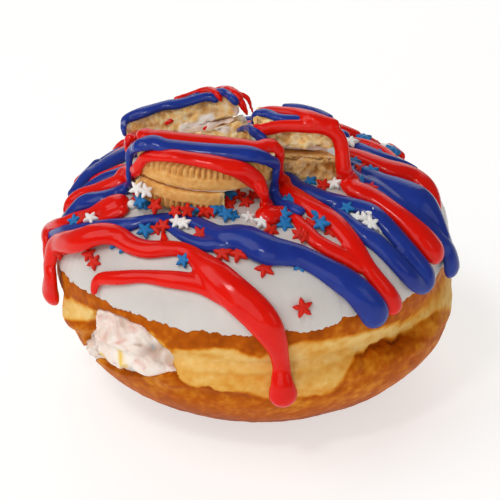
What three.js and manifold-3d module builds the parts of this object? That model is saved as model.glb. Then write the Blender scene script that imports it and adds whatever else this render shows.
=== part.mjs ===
// Birthday doughnut: a yeast bun split round its waist and filled with vanilla cream, dipped in
// white icing, strewn with star sprinkles, topped with three pieces of sandwich cookie and
// drizzled with red and blue icing.
// Millimetres, +Z up. The origin is on the surface it rests on, under the middle. The front is -Y.

import * as THREE from 'three';
import { mergeVertices } from 'three/addons/utils/BufferGeometryUtils.js';
import Module from 'manifold-3d';

const wasm = await Module();
wasm.setup();

const vec = (x, y, z) => new THREE.Vector3(x, y, z);
const DEG = Math.PI / 180;

// The bun. Each lobe is a round body that reaches up and down by its own amounts from its centre,
// and plan and side are the powers of its rounded profile.
const LID = { centre: vec(-0.5, 0.5, 36), radius: 48, up: 20, down: 22, plan: 2.9, side: 2.1 };
const BASE = { centre: vec(1.6, 0, 22.5), radius: 47.4, up: 12, down: 25.5, plan: 1.85, side: 1.85 };
const LID_TILT = 0.035; // rise for each millimetre to the right
const CREASE = 2; // width over which lid and base melt together
const EAR = { centre: vec(-41, -17, 27), radii: vec(7, 9, 5.5) };
const RIGHT_WALL = { centre: vec(37.5, 4, 26.5), radii: vec(11.5, 27, 10) };
const ROLL = { radius: 44, height: 23.6, thick: 4.3, from: -116 * DEG, to: -61 * DEG };
const HEART = vec(0, 0, 27); // every point of the bun's skin is in sight of this one

// The cream shows at the mouth, on the left of the front, and runs through the middle.
const MOUTH_AZIMUTH = -134 * DEG;
const CREAM_MIDDLE = { out: 10, height: 27.5, radii: vec(34, 21, 5) };
const CREAM_MOUTH = { out: 38, height: 27, radii: vec(12.5, 20, 13) };
const CREAM_BLEND = 5;
const CREAM_HEART = 32; // distance from the axis to the point that sees all its skin

// The white icing and what lies on it.
const GAP = 0.3; // clearance between neighbouring solids
const ICING = 1.5; // from the bun's skin to the icing's top
const ICING_EDGE = 38; // height of its lower edge
const EDGE_TILT = 0.4; // how much lower the edge is at the right
const EDGE_NOTCH = { azimuth: 298 * DEG, width: 3 * DEG, height: 2.5 };
const DRIZZLE_DEPTH = 4.8; // everything that lies on the icing is below this level over the skin
const STRAND_STEP = 6.5; // between a strand's sections
const STRAND_SIDES = 5;
const STAR = { radius: 2.6, waist: 1.15, thick: 1.5 };
const PEARL_RADIUS = 1.1;

// The sandwich cookies.
const COOKIE_RADIUS = 21.5;
const WAFER = 6.4; // thickness of one wafer
const RIDGES = 90; // round the rim
const RIDGE_DEPTH = 0.5;
const RIDGED_PART = 0.5; // of the wafer's thickness
const CREAM_INSET = 1.2;
const CRUMB = 0.8; // roughness of a broken edge
// A break is [direction in degrees, distance from the middle]: what lies beyond it is gone.
const COOKIES = {
  front: {
    centre: vec(-11.4, -2, 57.4), pitch: 7, roll: 3, turn: 0, cream: 0.8,
    lower: [[90, -8.5], [15, -0.8], [180, 16.5]],
    upper: [[90, -8], [0, 16], [180, 16]],
  },
  back: {
    centre: vec(-8.5, 3.5, 59.5), pitch: -10, roll: -16, turn: 8, cream: 1.6,
    lower: [[-90, -1], [90, 11], [0, 9], [180, 17]],
    upper: [[-90, -2], [90, 10], [0, 5]],
  },
  right: {
    centre: vec(1, -17.5, 58), pitch: -3, roll: 2, turn: 0, cream: 2.2,
    lower: [[-90, -9], [180, -1.5]],
    upper: [[-90, -9], [180, -1]],
  },
};

// Where the drizzle and the sprinkles lie was read off a photograph of 500 by 500 pixels. Its
// viewpoint turns each pixel [across, down] back into a place on the doughnut.
const VIEW = {
  aim: vec(-0.5, 0, 31.5),
  elevation: 26.5 * DEG,
  distance: 620,
  scale: 4.05, // pixels for each millimetre at the aim
  middle: [251, 262],
};
const TO_VIEW = vec(0, -Math.cos(VIEW.elevation), Math.sin(VIEW.elevation));
const VIEW_UP = vec(0, Math.sin(VIEW.elevation), Math.cos(VIEW.elevation));

// Drizzle on the icing: pixels along the middle of each strand, and its widths in millimetres,
// spread evenly from its start to its end. A pixel lies on the icing, and one with a third number
// is on the edge of the view, at that y from the middle.
const FRONT_STRANDS = [
  { path: [[57, 292, -12], [53, 268, -11], [54, 246, -10], [84, 236], [116, 233], [150, 251], [190, 250],
    [229, 282], [262, 314], [278, 335], [281, 368], [283, 392]], width: [4.6, 4, 4.4, 5, 6.4, 5, 4.4, 6.4] },
  { path: [[94, 290], [116, 274], [152, 273], [195, 281], [226, 294]], width: [1.8, 2.8, 3.4] },
  { path: [[54, 238, -6], [73, 229], [112, 223], [166, 217], [210, 233], [245, 235], [276, 251], [322, 261],
    [352, 284], [374, 316], [375, 328]], width: [3, 3.4, 5.2, 5.4, 6.4] },
  { path: [[160, 218], [178, 234], [206, 245], [232, 238]], width: [2.6, 2.8, 3] },
  { path: [[46, 286, -7], [46, 262, -6], [48, 240, -4], [73, 217], [97, 214], [118, 203]],
    width: [3.4, 3, 3, 4.6] },
  { path: [[62, 220], [81, 198], [102, 196], [129, 191]], width: [2.6, 2.8, 3.6] },
  { path: [[66, 211], [75, 197], [111, 184], [133, 181]], width: [2.2, 2.6, 2.4] },
  { path: [[292, 195], [322, 212], [348, 235], [368, 261], [388, 287], [394, 308]],
    width: [3.6, 4.4, 5, 3.8] },
  { path: [[270, 217], [284, 211], [303, 231], [330, 249], [357, 257]], width: [3.2, 3, 3.6] },
  { path: [[282, 178], [316, 189], [360, 203], [391, 223], [414, 251], [431, 277], [424, 292], [409, 272],
    [391, 246], [360, 223], [336, 208]], width: [3, 3.4, 3.2, 3.2, 2.6] },
  { path: [[344, 186], [375, 197], [398, 214], [427, 237], [437, 256]], width: [4.6, 4.8, 3.8] },
  { path: [[352, 154], [383, 163], [414, 176], [437, 200], [440, 212]], width: [2.8, 3.6, 3.6] },
  { path: [[352, 165], [383, 174], [414, 192], [434, 212], [446, 243, -6], [450, 268, -6]],
    width: [3.2, 4.4, 5.4, 4.2, 3.4] },
];

// The strands that carry on behind, where the photograph doesn't reach: [x, y] in plan.
const BACK_STRANDS = [
  { path: [[-40, 12], [-24, 19], [0, 21], [24, 18], [41, 13]], width: [2.6, 3.4, 4, 3] },
  { path: [[-38, 22], [-20, 27], [4, 29], [26, 25], [37, 22]], width: [3, 4.4, 3.4, 3.8] },
  { path: [[-30, 32], [-12, 36], [8, 37], [27, 32]], width: [3.4, 4, 3.6, 3.4] },
];

// Drizzle on the cookies. A pixel lies on the cookie's top, and one with a third number hangs beside
// it, at that y from the middle.
const COOKIE_STRANDS = {
  front: [
    { path: [[128, 158, -11], [133, 136], [162, 133], [213, 139], [258, 143], [276, 150, -12],
      [281, 172, -11]], width: [2.4, 3.2, 3.2, 3] },
    { path: [[128, 184, -13], [128, 160, -15], [139, 142], [179, 144], [236, 148], [264, 152],
      [275, 168, -17]], width: [2, 3, 3.4, 3.4, 3] },
    { path: [[144, 162], [158, 153], [196, 155], [230, 163], [254, 174, -23], [266, 198, -24]],
      width: [3, 3.4, 3.4, 2.8] },
  ],
  back: [
    { path: [[124, 136, 3], [128, 120], [150, 110], [185, 100], [214, 94]], width: [2, 2.4, 2] },
    { path: [[160, 103], [187, 96], [206, 90]], width: [2, 2.4, 2] },
  ],
  right: [
    { path: [[262, 118], [289, 119], [317, 125], [337, 133], [342, 160, -11]], width: [2.6, 2.8, 3, 3] },
    { path: [[268, 109], [296, 108], [322, 114]], width: [2.4, 2.8, 2.4] },
  ],
};

// Star sprinkles and the pearl, as pixels of their middles.
const STARS_IN_VIEW = [
  [303, 308], [265, 269], [223, 254], [240, 254], [91, 256], [95, 263], [184, 261], [90, 203],
  [76, 224], [118, 245], [154, 233], [107, 218], [124, 213], [154, 202], [190, 211], [207, 214],
  [218, 213], [231, 217], [250, 219], [271, 231], [285, 225], [298, 238], [312, 225], [318, 230],
  [330, 233], [347, 212], [361, 198], [376, 204], [365, 222], [384, 181], [370, 176],
];
const PEARL_IN_VIEW = [131.5, 205.6];
const HIDDEN_STARS = 7; // strewn behind the cookies

// A seeded random number between 0 and 1.
let seed = 20;
function random() {
  seed = (seed * 16807) % 2147483647;
  return seed / 2147483647;
}

// Form of the bun

function smoothMin(a, b, width) {
  const near = Math.max(width - Math.abs(a - b), 0) / width;
  return Math.min(a, b) - near * near * width / 4;
}

function lobe(p, { centre, radius, up, down, plan, side }, tilt = 0) {
  const rise = p.z - tilt * p.x - centre.z;
  const reach = rise > 0 ? up : down;
  const across = Math.hypot(p.x - centre.x, p.y - centre.y) / radius;
  const sum = across ** plan + (Math.abs(rise) / reach) ** side;
  return (sum ** (1 / Math.max(plan, side)) - 1) * Math.min(up, down);
}

function ellipsoid(p, { centre, radii }) {
  const scaled = p.clone().sub(centre).divide(radii);
  return (scaled.length() - 1) * Math.min(radii.x, radii.y, radii.z);
}

// The soft fold that bulges out under the waist, along the front.
function roll(p) {
  const azimuth = THREE.MathUtils.clamp(Math.atan2(p.y, p.x), ROLL.from, ROLL.to);
  const middle = vec(ROLL.radius * Math.cos(azimuth), ROLL.radius * Math.sin(azimuth), ROLL.height);
  return p.distanceTo(middle) - ROLL.thick;
}

// Below zero inside the dough, above zero outside it.
function dough(p) {
  let value = smoothMin(lobe(p, LID, LID_TILT), lobe(p, BASE), CREASE);
  value = smoothMin(value, ellipsoid(p, EAR), CREASE);
  value = smoothMin(value, ellipsoid(p, RIGHT_WALL), CREASE);
  value = smoothMin(value, roll(p), CREASE / 2);
  return Math.max(value, -p.z);
}

function slope(field, p) {
  const step = 0.05;
  const at = (axis, move) => field(p.clone().addScaledVector(axis, move));
  const along = (axis) => at(axis, step) - at(axis, -step);
  return vec(along(vec(1, 0, 0)), along(vec(0, 1, 0)), along(vec(0, 0, 1))).divideScalar(2 * step);
}

const outward = (field, p) => slope(field, p).normalize();
const distanceTo = (field, p) => field(p) / slope(field, p).length();

// The point where the skin of a form is met from a point inside it.
function skinPoint(field, inside, direction) {
  let near = 0;
  let far = 90;
  for (let i = 0; i < 26; i++) {
    const middle = (near + far) / 2;
    if (field(inside.clone().addScaledVector(direction, middle)) < 0) near = middle;
    else far = middle;
  }
  const point = inside.clone().addScaledVector(direction, near);
  if (Math.abs(point.z) < 1e-3) point.z = 0;
  return point;
}

// Closed skins and booleans

function solid(geometry) {
  const bare = geometry.clone();
  bare.deleteAttribute('normal');
  bare.deleteAttribute('uv');
  const merged = mergeVertices(bare, 1e-4);
  const vertProperties = Float32Array.from(merged.attributes.position.array);
  const triVerts = Uint32Array.from(merged.index.array);
  return new wasm.Manifold(new wasm.Mesh({ numProp: 3, vertProperties, triVerts }));
}

function geometryOf(body) {
  const { vertProperties, triVerts } = body.getMesh();
  const geometry = new THREE.BufferGeometry();
  geometry.setAttribute('position', new THREE.BufferAttribute(vertProperties, 3));
  geometry.setIndex(new THREE.BufferAttribute(triVerts, 1));
  geometry.computeVertexNormals();
  return geometry;
}

const joined = (bodies) => bodies.reduce((whole, body) => whole.add(body));

// The largest piece of a cut body, without the scraps.
function largest(body) {
  return body.decompose().reduce((best, piece) => (piece.volume() > best.volume() ? piece : best));
}

// A globe whose vertices are moved by a function of their direction and row (0 at the top, 1 below).
function reshaped(around, rows, place) {
  const geometry = new THREE.SphereGeometry(1, around, rows);
  geometry.rotateX(Math.PI / 2);
  const { position, uv } = geometry.attributes;
  for (let i = 0; i < position.count; i++) {
    const azimuth = uv.getX(i) * 2 * Math.PI;
    const point = place(azimuth, 1 - uv.getY(i));
    position.setXYZ(i, point.x, point.y, point.z);
  }
  return geometry;
}

const direction = (azimuth, height) => (
  vec(Math.cos(height) * Math.cos(azimuth), Math.cos(height) * Math.sin(azimuth), Math.sin(height))
);

// The height angle of a row, with the rows close together round the waist.
function waistHeight(row) {
  const level = 1 - 2 * row;
  return (0.5 * level + 0.5 * level ** 3) * Math.PI / 2;
}

// The bun's skin, swollen by an offset.
function bunSkin(offset) {
  return solid(reshaped(40, 22, (azimuth, row) => {
    const point = skinPoint(dough, HEART, direction(azimuth, waistHeight(row)));
    return offset ? point.addScaledVector(outward(dough, point), offset) : point;
  }));
}

// Filling

const MOUTH = vec(Math.cos(MOUTH_AZIMUTH), Math.sin(MOUTH_AZIMUTH), 0);

function cream(p) {
  const out = p.dot(MOUTH);
  const across = p.y * MOUTH.x - p.x * MOUTH.y;
  const part = ({ out: middle, height, radii }) => (
    ellipsoid(vec(out, across, p.z), { centre: vec(middle, 0, height), radii })
  );
  return smoothMin(part(CREAM_MIDDLE), part(CREAM_MOUTH), CREAM_BLEND);
}

function creamSkin(offset) {
  const inside = MOUTH.clone().multiplyScalar(CREAM_HEART).setZ(CREAM_MIDDLE.height);
  return solid(reshaped(22, 12, (azimuth, row) => {
    const point = skinPoint(cream, inside, direction(azimuth, waistHeight(row)));
    return point.addScaledVector(outward(cream, point), offset);
  }));
}

// Icing

// The height of the icing's edge, wavy, with a notch at the right of the front.
function icingEdge(azimuth) {
  const waves = [[5, 0.5, 1], [11, 0.35, 0], [23, 0.2, 2]];
  const wave = ([count, height, start]) => height * Math.sin(count * azimuth + start);
  const ripple = waves.reduce((sum, each) => sum + wave(each), 0);
  const notch = EDGE_NOTCH.height * Math.exp(-(((azimuth - EDGE_NOTCH.azimuth) / EDGE_NOTCH.width) ** 2));
  return ICING_EDGE - EDGE_TILT * Math.cos(azimuth) + ripple + notch;
}

// A cap from the top of the bun to the edge, with its inner side sunk into the dough.
function icingCap() {
  return solid(reshaped(36, 14, (azimuth, row) => {
    const edge = Math.atan2(icingEdge(azimuth) - HEART.z, LID.radius);
    const down = 1 - Math.abs(1 - 2 * row);
    const height = THREE.MathUtils.lerp(Math.PI / 2, edge, down);
    const point = skinPoint(dough, HEART, direction(azimuth, height));
    return point.addScaledVector(outward(dough, point), row < 0.5 ? ICING : -2 * GAP);
  }));
}

// Cookies

function cookieFrame({ centre, pitch, roll: lean, turn }) {
  const rotation = new THREE.Euler(pitch * DEG, lean * DEG, turn * DEG, 'YXZ');
  return new THREE.Matrix4().makeRotationFromEuler(rotation).setPosition(centre);
}

const cookieHeight = ({ cream: filling }) => 2 * WAFER + filling;

// What a break takes away: a block whose inner side is crumbly, unless the edge is to be plain.
function breakBlock([degrees, distance], crumb) {
  const [length, depth, height] = [60, 40, 36];
  const geometry = new THREE.BoxGeometry(depth, length, height, 1, 18, 9);
  const { position } = geometry.attributes;
  for (let i = 0; i < position.count; i++) {
    const [x, y, z] = [position.getX(i), position.getY(i), position.getZ(i)];
    const bump = Math.sin(1.9 * y + 2.1 * z + degrees) + Math.sin(0.9 * y - 1.7 * z + 2 * degrees);
    if (x < 0) position.setX(i, x + crumb * bump / 2);
  }
  geometry.translate(distance + depth / 2, 0, 0);
  geometry.rotateZ(degrees * DEG);
  return solid(geometry);
}

function disc(radius, bottom, top, ridge) {
  const shape = new THREE.Shape();
  const count = ridge ? 2 * RIDGES : 72;
  for (let i = 0; i < count; i++) {
    const reach = radius - (i % 2) * ridge;
    const angle = i * 2 * Math.PI / count;
    if (i) shape.lineTo(reach * Math.cos(angle), reach * Math.sin(angle));
    else shape.moveTo(reach, 0);
  }
  const geometry = new THREE.ExtrudeGeometry(shape, { depth: top - bottom, bevelEnabled: false });
  return solid(geometry.translate(0, 0, bottom));
}

// A wafer has its ridges on the half of its rim that faces away from the cream.
function wafer(bottom, breaks, ridgesUp) {
  const split = bottom + WAFER * (ridgesUp ? 1 - RIDGED_PART : RIDGED_PART);
  const low = disc(COOKIE_RADIUS, bottom, split, ridgesUp ? 0 : RIDGE_DEPTH);
  const high = disc(COOKIE_RADIUS, split, bottom + WAFER, ridgesUp ? RIDGE_DEPTH : 0);
  return breaks.reduce((body, edge) => body.subtract(breakBlock(edge, CRUMB)), low.add(high));
}

// A plain piece with a margin all round, to cut neighbours clear of a cookie.
function cookieRoom(breaks, bottom, top, margin) {
  const body = disc(COOKIE_RADIUS + margin, bottom - margin, top + margin, 0);
  return breaks.reduce((rest, [degrees, distance]) => (
    rest.subtract(breakBlock([degrees, distance + margin + CRUMB], 0))
  ), body);
}

const placed = (body, matrix) => body.transform(matrix.elements);

// Drizzle and sprinkles

const icingTop = (p) => distanceTo(dough, p) - ICING;
const bunNormal = (p) => outward(dough, p);
const TOUCH = 0.02; // near enough to a surface to be on it
const EYE = VIEW.aim.clone().addScaledVector(TO_VIEW, VIEW.distance);

// The line of sight through a pixel.
function sight([across, down]) {
  const forward = TO_VIEW.clone().multiplyScalar(-VIEW.scale * VIEW.distance);
  forward.addScaledVector(vec(1, 0, 0), across - VIEW.middle[0]);
  forward.addScaledVector(VIEW_UP, VIEW.middle[1] - down);
  return new THREE.Ray(EYE, forward.normalize());
}

// Where a pixel meets the upright plane at a given y.
const atDepth = (pixel) => sight(pixel).intersectPlane(new THREE.Plane(vec(0, 1, 0), -pixel[2]), vec());

// Where a pixel meets the icing.
function onIcing(pixel) {
  if (pixel.length > 2) return atDepth(pixel);
  const ray = sight(pixel);
  const point = ray.at(VIEW.distance - 80, vec());
  while (icingTop(point) > TOUCH) point.addScaledVector(ray.direction, 0.2);
  return point;
}

// Where a pixel meets the top of a cookie.
function onCookie(cookie, pixel) {
  if (pixel.length > 2) return atDepth(pixel);
  const top = new THREE.Plane(vec(0, 0, 1), -cookieHeight(cookie)).applyMatrix4(cookieFrame(cookie));
  return sight(pixel).intersectPlane(top, vec());
}

// A capsule bent along the strand's path, flattened on what it lies on.
function strand({ path, width }, place, facing) {
  const curve = new THREE.CatmullRomCurve3(path.map(place), false, 'centripetal');
  const length = curve.getLength();
  const sections = Math.round(length / STRAND_STEP) + 1;
  const geometry = new THREE.CapsuleGeometry(1, length, 2, STRAND_SIDES, sections);
  const { position } = geometry.attributes;
  for (let i = 0; i < position.count; i++) {
    const [x, y, z] = [position.getX(i), position.getY(i), position.getZ(i)];
    const along = THREE.MathUtils.clamp(y / length + 0.5, 0, 1);
    const beyond = y - (along - 0.5) * length;
    const station = along * (width.length - 1);
    const step = Math.min(Math.floor(station), width.length - 2);
    const half = THREE.MathUtils.lerp(width[step], width[step + 1], station - step) / 2;
    const point = curve.getPointAt(along);
    const forward = curve.getTangentAt(along);
    const side = forward.clone().cross(facing(point)).normalize();
    const lift = side.clone().cross(forward).normalize();
    point.addScaledVector(forward, beyond * half);
    point.addScaledVector(side, x * half);
    point.addScaledVector(lift, z * (0.75 * half + 0.4));
    position.setXYZ(i, point.x, point.y, point.z);
  }
  return solid(geometry);
}

// The point of the icing under a place in plan.
function inPlan([x, y]) {
  const point = vec(x, y, 80);
  while (icingTop(point) > TOUCH) point.z -= 0.1;
  return point;
}

// A star lies flat on the icing, sunk in a little and slightly tilted.
function star(point) {
  const shape = new THREE.Shape();
  for (let i = 0; i < 10; i++) {
    const reach = i % 2 ? STAR.waist : STAR.radius;
    const angle = i * Math.PI / 5;
    if (i) shape.lineTo(reach * Math.cos(angle), reach * Math.sin(angle));
    else shape.moveTo(reach, 0);
  }
  const geometry = new THREE.ExtrudeGeometry(shape, { depth: STAR.thick, bevelEnabled: false });
  geometry.rotateZ(random() * 2 * Math.PI);
  geometry.rotateX((random() - 0.5) * 0.5);
  const turn = new THREE.Quaternion().setFromUnitVectors(vec(0, 0, 1), outward(dough, point));
  geometry.applyQuaternion(turn);
  const sunk = point.clone().addScaledVector(outward(dough, point), -0.45 * STAR.thick);
  return solid(geometry.translate(sunk.x, sunk.y, sunk.z));
}

// Places strewn over the back half, clear of the cookies.
function hiddenPlaces() {
  return Array.from({ length: HIDDEN_STARS }, (_, i) => {
    const azimuth = (15 + 150 * (i + random()) / HIDDEN_STARS) * DEG;
    const radius = 26 + 14 * random();
    return inPlan([radius * Math.cos(azimuth), radius * Math.sin(azimuth)]);
  });
}

// A sugar pearl, half sunk in the icing.
function pearl(point) {
  const geometry = new THREE.IcosahedronGeometry(PEARL_RADIUS, 1);
  return solid(geometry.translate(point.x, point.y, point.z + PEARL_RADIUS / 2));
}

// Assembly

const colour = (color, roughness) => new THREE.MeshStandardMaterial({ color, roughness });
const CRUST = colour(0xc07a2c, 0.7);
const FILLING = colour(0xe6d5c8, 0.6);
const WHITE_ICING = colour(0xeae6e0, 0.35);
const BISCUIT = colour(0xd09a58, 0.8);
const COOKIE_CREAM = colour(0xf0e2d2, 0.6);

function mesh(name, body, material) {
  const piece = new THREE.Mesh(geometryOf(body), material);
  piece.name = name;
  return piece;
}

const doughnut = new THREE.Group();
doughnut.add(mesh('bun', bunSkin(0).subtract(creamSkin(GAP)), CRUST));
doughnut.add(mesh('filling', creamSkin(0), FILLING));

const rooms = Object.values(COOKIES).map((cookie) => (
  placed(cookieRoom(cookie.lower, 0, cookieHeight(cookie), GAP), cookieFrame(cookie))
));
const onTheIcing = [
  ...FRONT_STRANDS.map((each) => strand(each, onIcing, bunNormal)),
  ...BACK_STRANDS.map((each) => strand(each, inPlan, bunNormal)),
  ...STARS_IN_VIEW.map((pixel) => star(onIcing(pixel))),
  ...hiddenPlaces().map(star),
  pearl(onIcing(PEARL_IN_VIEW)),
];
const icing = joined([icingCap(), ...onTheIcing]).subtract(bunSkin(GAP)).subtract(joined(rooms));
doughnut.add(mesh('icing', largest(icing), WHITE_ICING));

const onTheBun = bunSkin(DRIZZLE_DEPTH);
const names = Object.keys(COOKIES);
for (const [name, cookie] of Object.entries(COOKIES)) {
  const frame = cookieFrame(cookie);
  const inverse = frame.clone().invert();
  const upperBottom = WAFER + cookie.cream;

  // The drizzle drapes over the upper wafer and stays clear of all that is under or beside it.
  const drape = (path) => strand(path, (pixel) => onCookie(cookie, pixel), () => vec(0, -0.5, 1));
  const drizzle = joined(COOKIE_STRANDS[name].map(drape));
  const beside = rooms.filter((_, i) => names[i] !== name);
  const under = [cookie.lower, cookie.upper].map((breaks) => cookieRoom(breaks, 0, upperBottom - GAP, GAP));
  const clear = joined(under).add(placed(joined([onTheBun, ...beside]), inverse));
  const upper = wafer(upperBottom, cookie.upper, true).add(placed(drizzle, inverse).subtract(clear));

  const inset = cookie.upper.map(([degrees, distance]) => [degrees, distance - CREAM_INSET]);
  const middle = cookieRoom(inset, WAFER + GAP, upperBottom - GAP, 0);

  const group = new THREE.Group();
  group.applyMatrix4(frame);
  group.add(mesh(`cookie_${name}_lower`, wafer(0, cookie.lower, false), BISCUIT));
  group.add(mesh(`cookie_${name}_cream`, middle, COOKIE_CREAM));
  group.add(mesh(`cookie_${name}_upper`, largest(upper), BISCUIT));
  doughnut.add(group);
}

export default doughnut;
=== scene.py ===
# %% [markdown]
# # A birthday doughnut: filled, iced, drizzled and topped with broken cookies
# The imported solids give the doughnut's true form and size. This lesson dresses them. Every soft or
# crumbly part is made again as a finer mesh in the same place, and gets a material of its own.
# Food has hardly any straight line in it, so most shapes here come from one idea: a formula says
# how far a point is from the dough, and meshes, drizzle and sprinkles are all laid on that surface.

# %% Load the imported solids
from itertools import product

import bpy
import numpy as np
from mathutils import Matrix, Vector


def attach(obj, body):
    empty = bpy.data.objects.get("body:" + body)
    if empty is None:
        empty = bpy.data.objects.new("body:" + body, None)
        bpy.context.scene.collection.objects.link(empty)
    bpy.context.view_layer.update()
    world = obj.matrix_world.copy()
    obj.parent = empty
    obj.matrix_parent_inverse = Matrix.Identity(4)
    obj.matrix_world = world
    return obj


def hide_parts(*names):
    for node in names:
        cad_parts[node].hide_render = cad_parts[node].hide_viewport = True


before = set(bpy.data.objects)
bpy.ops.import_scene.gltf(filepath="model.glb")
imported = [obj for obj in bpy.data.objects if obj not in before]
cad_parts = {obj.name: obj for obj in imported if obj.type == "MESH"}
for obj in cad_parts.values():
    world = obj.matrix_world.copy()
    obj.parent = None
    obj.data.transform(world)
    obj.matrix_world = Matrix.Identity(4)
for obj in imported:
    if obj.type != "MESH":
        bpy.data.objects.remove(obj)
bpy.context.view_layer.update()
MM = 0.001
print("solids:", sorted(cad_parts))

# %% [markdown]
# ## Small helpers
# Colours are written as on a colour picker and turned to the linear light that Blender computes
# with. Meshes are worked out in millimetres with numpy, because a doughnut is easier to think of
# that way, and are turned to metres where the Blender object is made.

# %% Colours and meshes
def linear(hexcode):
    """A colour's linear light, and 1 for opaque."""
    values = np.array([int(hexcode[i:i + 2], 16) for i in (1, 3, 5)]) / 255
    light = np.where(values <= 0.04045, values / 12.92, ((values + 0.055) / 1.055) ** 2.4)
    return (*light, 1.0)


def mesh_object(name, points, faces, material, attributes={}):
    """A smooth-shaded object from points in millimetres and a list of face arrays."""
    mesh = bpy.data.meshes.new(name)
    mesh.from_pydata((points * MM).tolist(), [], [face for group in faces for face in group.tolist()])
    mesh.polygons.foreach_set("use_smooth", np.ones(len(mesh.polygons), bool))
    for key, values in attributes.items():
        mesh.attributes.new(key, "FLOAT", "POINT").data.foreach_set("value", values.astype(np.float32))
    mesh.materials.append(material)
    piece = bpy.data.objects.new(name, mesh)
    bpy.context.scene.collection.objects.link(piece)
    print(f"{name}: {len(mesh.polygons)} faces")
    return piece


# %% [markdown]
# A material is a small network of nodes. One helper adds a node with its settings and its links,
# and two more set what several foods share: a ramp of colours, and light that scatters inside.

# %% Materials and shader nodes
def new_material(name):
    material = bpy.data.materials.new(name)
    material.use_nodes = True
    tree = material.node_tree
    return material, tree, tree.nodes["Principled BSDF"]


def add(tree, kind, inputs={}, **settings):
    """Adds a node, with its settings and with values or links for its inputs."""
    node = tree.nodes.new(kind)
    for key, value in settings.items():
        setattr(node, key, value)
    for key, value in inputs.items():
        if isinstance(value, bpy.types.NodeSocket):
            tree.links.new(value, node.inputs[key])
        else:
            node.inputs[key].default_value = value
    return node


def set_ramp(node, stops):
    """Puts (place, colour) stops on a colour ramp."""
    elements = node.color_ramp.elements
    while len(elements) < len(stops):
        elements.new(0.5)
    for element, (place, hexcode) in zip(elements, stops):
        element.position = place
        element.color = linear(hexcode)


def scatters(shader, weight, reach):
    """Lets light in and out again within a reach in millimetres, for red, green and blue."""
    shader.inputs["Subsurface Weight"].default_value = weight
    shader.inputs["Subsurface Radius"].default_value = [MM * part for part in reach]
    shader.inputs["Subsurface Scale"].default_value = 0.5


# %% [markdown]
# ## Noise
# Dough, crumb and whipped cream are all uneven, and at several sizes at once. Value noise gives
# each point of a grid a fixed chance number and blends smoothly between them. The numbers come
# from the grid place alone, so the doughnut is the same each time that the script runs.

# %% Value noise
def lattice(cell, seed):
    """A fixed chance number from -1 to 1 for each place of a grid."""
    hashed = cell[..., 0] * 73856093 ^ cell[..., 1] * 19349663 ^ cell[..., 2] * 83492791 ^ seed * 40503
    for shift, factor in ((15, 2246822519), (13, 3266489917)):
        hashed = ((hashed & 0xFFFFFFFF) >> shift ^ hashed & 0xFFFFFFFF) * factor & 0xFFFFFFFF
    return ((hashed >> 8) & 0xFFFF) / 32767.5 - 1


def noise(points, size, seed=0):
    """Numbers from -1 to 1 that change smoothly over a distance in millimetres."""
    scaled = np.asarray(points) / size
    cell = np.floor(scaled).astype(np.int64)
    part = scaled - cell
    part = part * part * (3 - 2 * part)
    total = np.zeros(scaled.shape[:-1])
    for corner in product((0, 1), repeat=3):
        weight = np.prod(np.where(corner, part, 1 - part), axis=-1)
        total += weight * lattice(cell + np.array(corner), seed)
    return total


def rough(points, size, seed=0, octaves=3):
    """Noise with finer noise on it, each octave half as long and half as strong."""
    return sum(noise(points, size / 2 ** k, seed + k) / 2 ** k for k in range(octaves))


def ramp(values, low, high):
    """A smooth step from 0 at low to 1 at high."""
    part = np.clip((values - low) / (high - low), 0, 1)
    return part * part * (3 - 2 * part)


print("noise at three points:", np.round(noise(np.array([[1, 2, 3], [4, 5, 6], [7, 8, 9]]), 5.0), 2))


# %% [markdown]
# ## The camera
# The camera stands where the photograph was taken: 26.5 degrees above the table and 62 cm away.
# It comes first because places that were read off the picture are used all through the lesson. A
# place in the picture is a line of sight, and a point of the doughnut has a place in the picture.

# %% Camera, lines of sight and places in the picture
AIM, ELEVATION, FAR = np.array([-0.5, 0, 31.5]), np.radians(26.5), 620.0
SCALE = 4.05  # pixels that show a millimetre at the aim
MIDDLE, FRAME_WIDTH, SENSOR = (251, 262), 500, 36.0
RIGHT = np.array([1.0, 0, 0])
BACK = np.array([0, -np.cos(ELEVATION), np.sin(ELEVATION)])
UP = np.array([0, np.sin(ELEVATION), np.cos(ELEVATION)])
EYE = AIM + BACK * FAR

camera_data = bpy.data.cameras.new("camera")
camera_data.sensor_width = SENSOR
camera_data.lens = SCALE * FAR * SENSOR / FRAME_WIDTH
camera_data.shift_x = (FRAME_WIDTH / 2 - MIDDLE[0]) / FRAME_WIDTH
camera_data.shift_y = (MIDDLE[1] - FRAME_WIDTH / 2) / FRAME_WIDTH
camera_data.clip_start, camera_data.clip_end = 0.01, 10
camera = bpy.data.objects.new("camera", camera_data)
camera.location = EYE * MM
camera.rotation_euler = (np.pi / 2 - ELEVATION, 0, 0)
bpy.context.scene.collection.objects.link(camera)
bpy.context.scene.camera = camera


def sight(pixels):
    """The directions in which the camera sees places in the picture."""
    across, down_by = pixels[..., 0] - MIDDLE[0], pixels[..., 1] - MIDDLE[1]
    ray = -BACK * SCALE * FAR + across[..., None] * RIGHT - down_by[..., None] * UP
    return ray / np.linalg.norm(ray, axis=-1, keepdims=True)


def to_pixels(p):
    """Where the picture shows points."""
    deep = (EYE - p) @ BACK
    return np.stack([MIDDLE[0] + SCALE * FAR * ((p - EYE) @ RIGHT) / deep,
                     MIDDLE[1] - SCALE * FAR * ((p - EYE) @ UP) / deep], -1)


def stroke(pixels, *path):
    """Pixels to the nearest of the lines that join the places."""
    nearest = np.full(pixels.shape[:-1], 1e3)
    for a, b in zip(np.array(path[:-1], float), np.array(path[1:], float)):
        along = np.clip(((pixels - a) @ (b - a)) / max((b - a) @ (b - a), 1e-9), 0, 1)
        nearest = np.minimum(nearest, np.linalg.norm(pixels - a - along[..., None] * (b - a), axis=-1))
    return nearest


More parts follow.
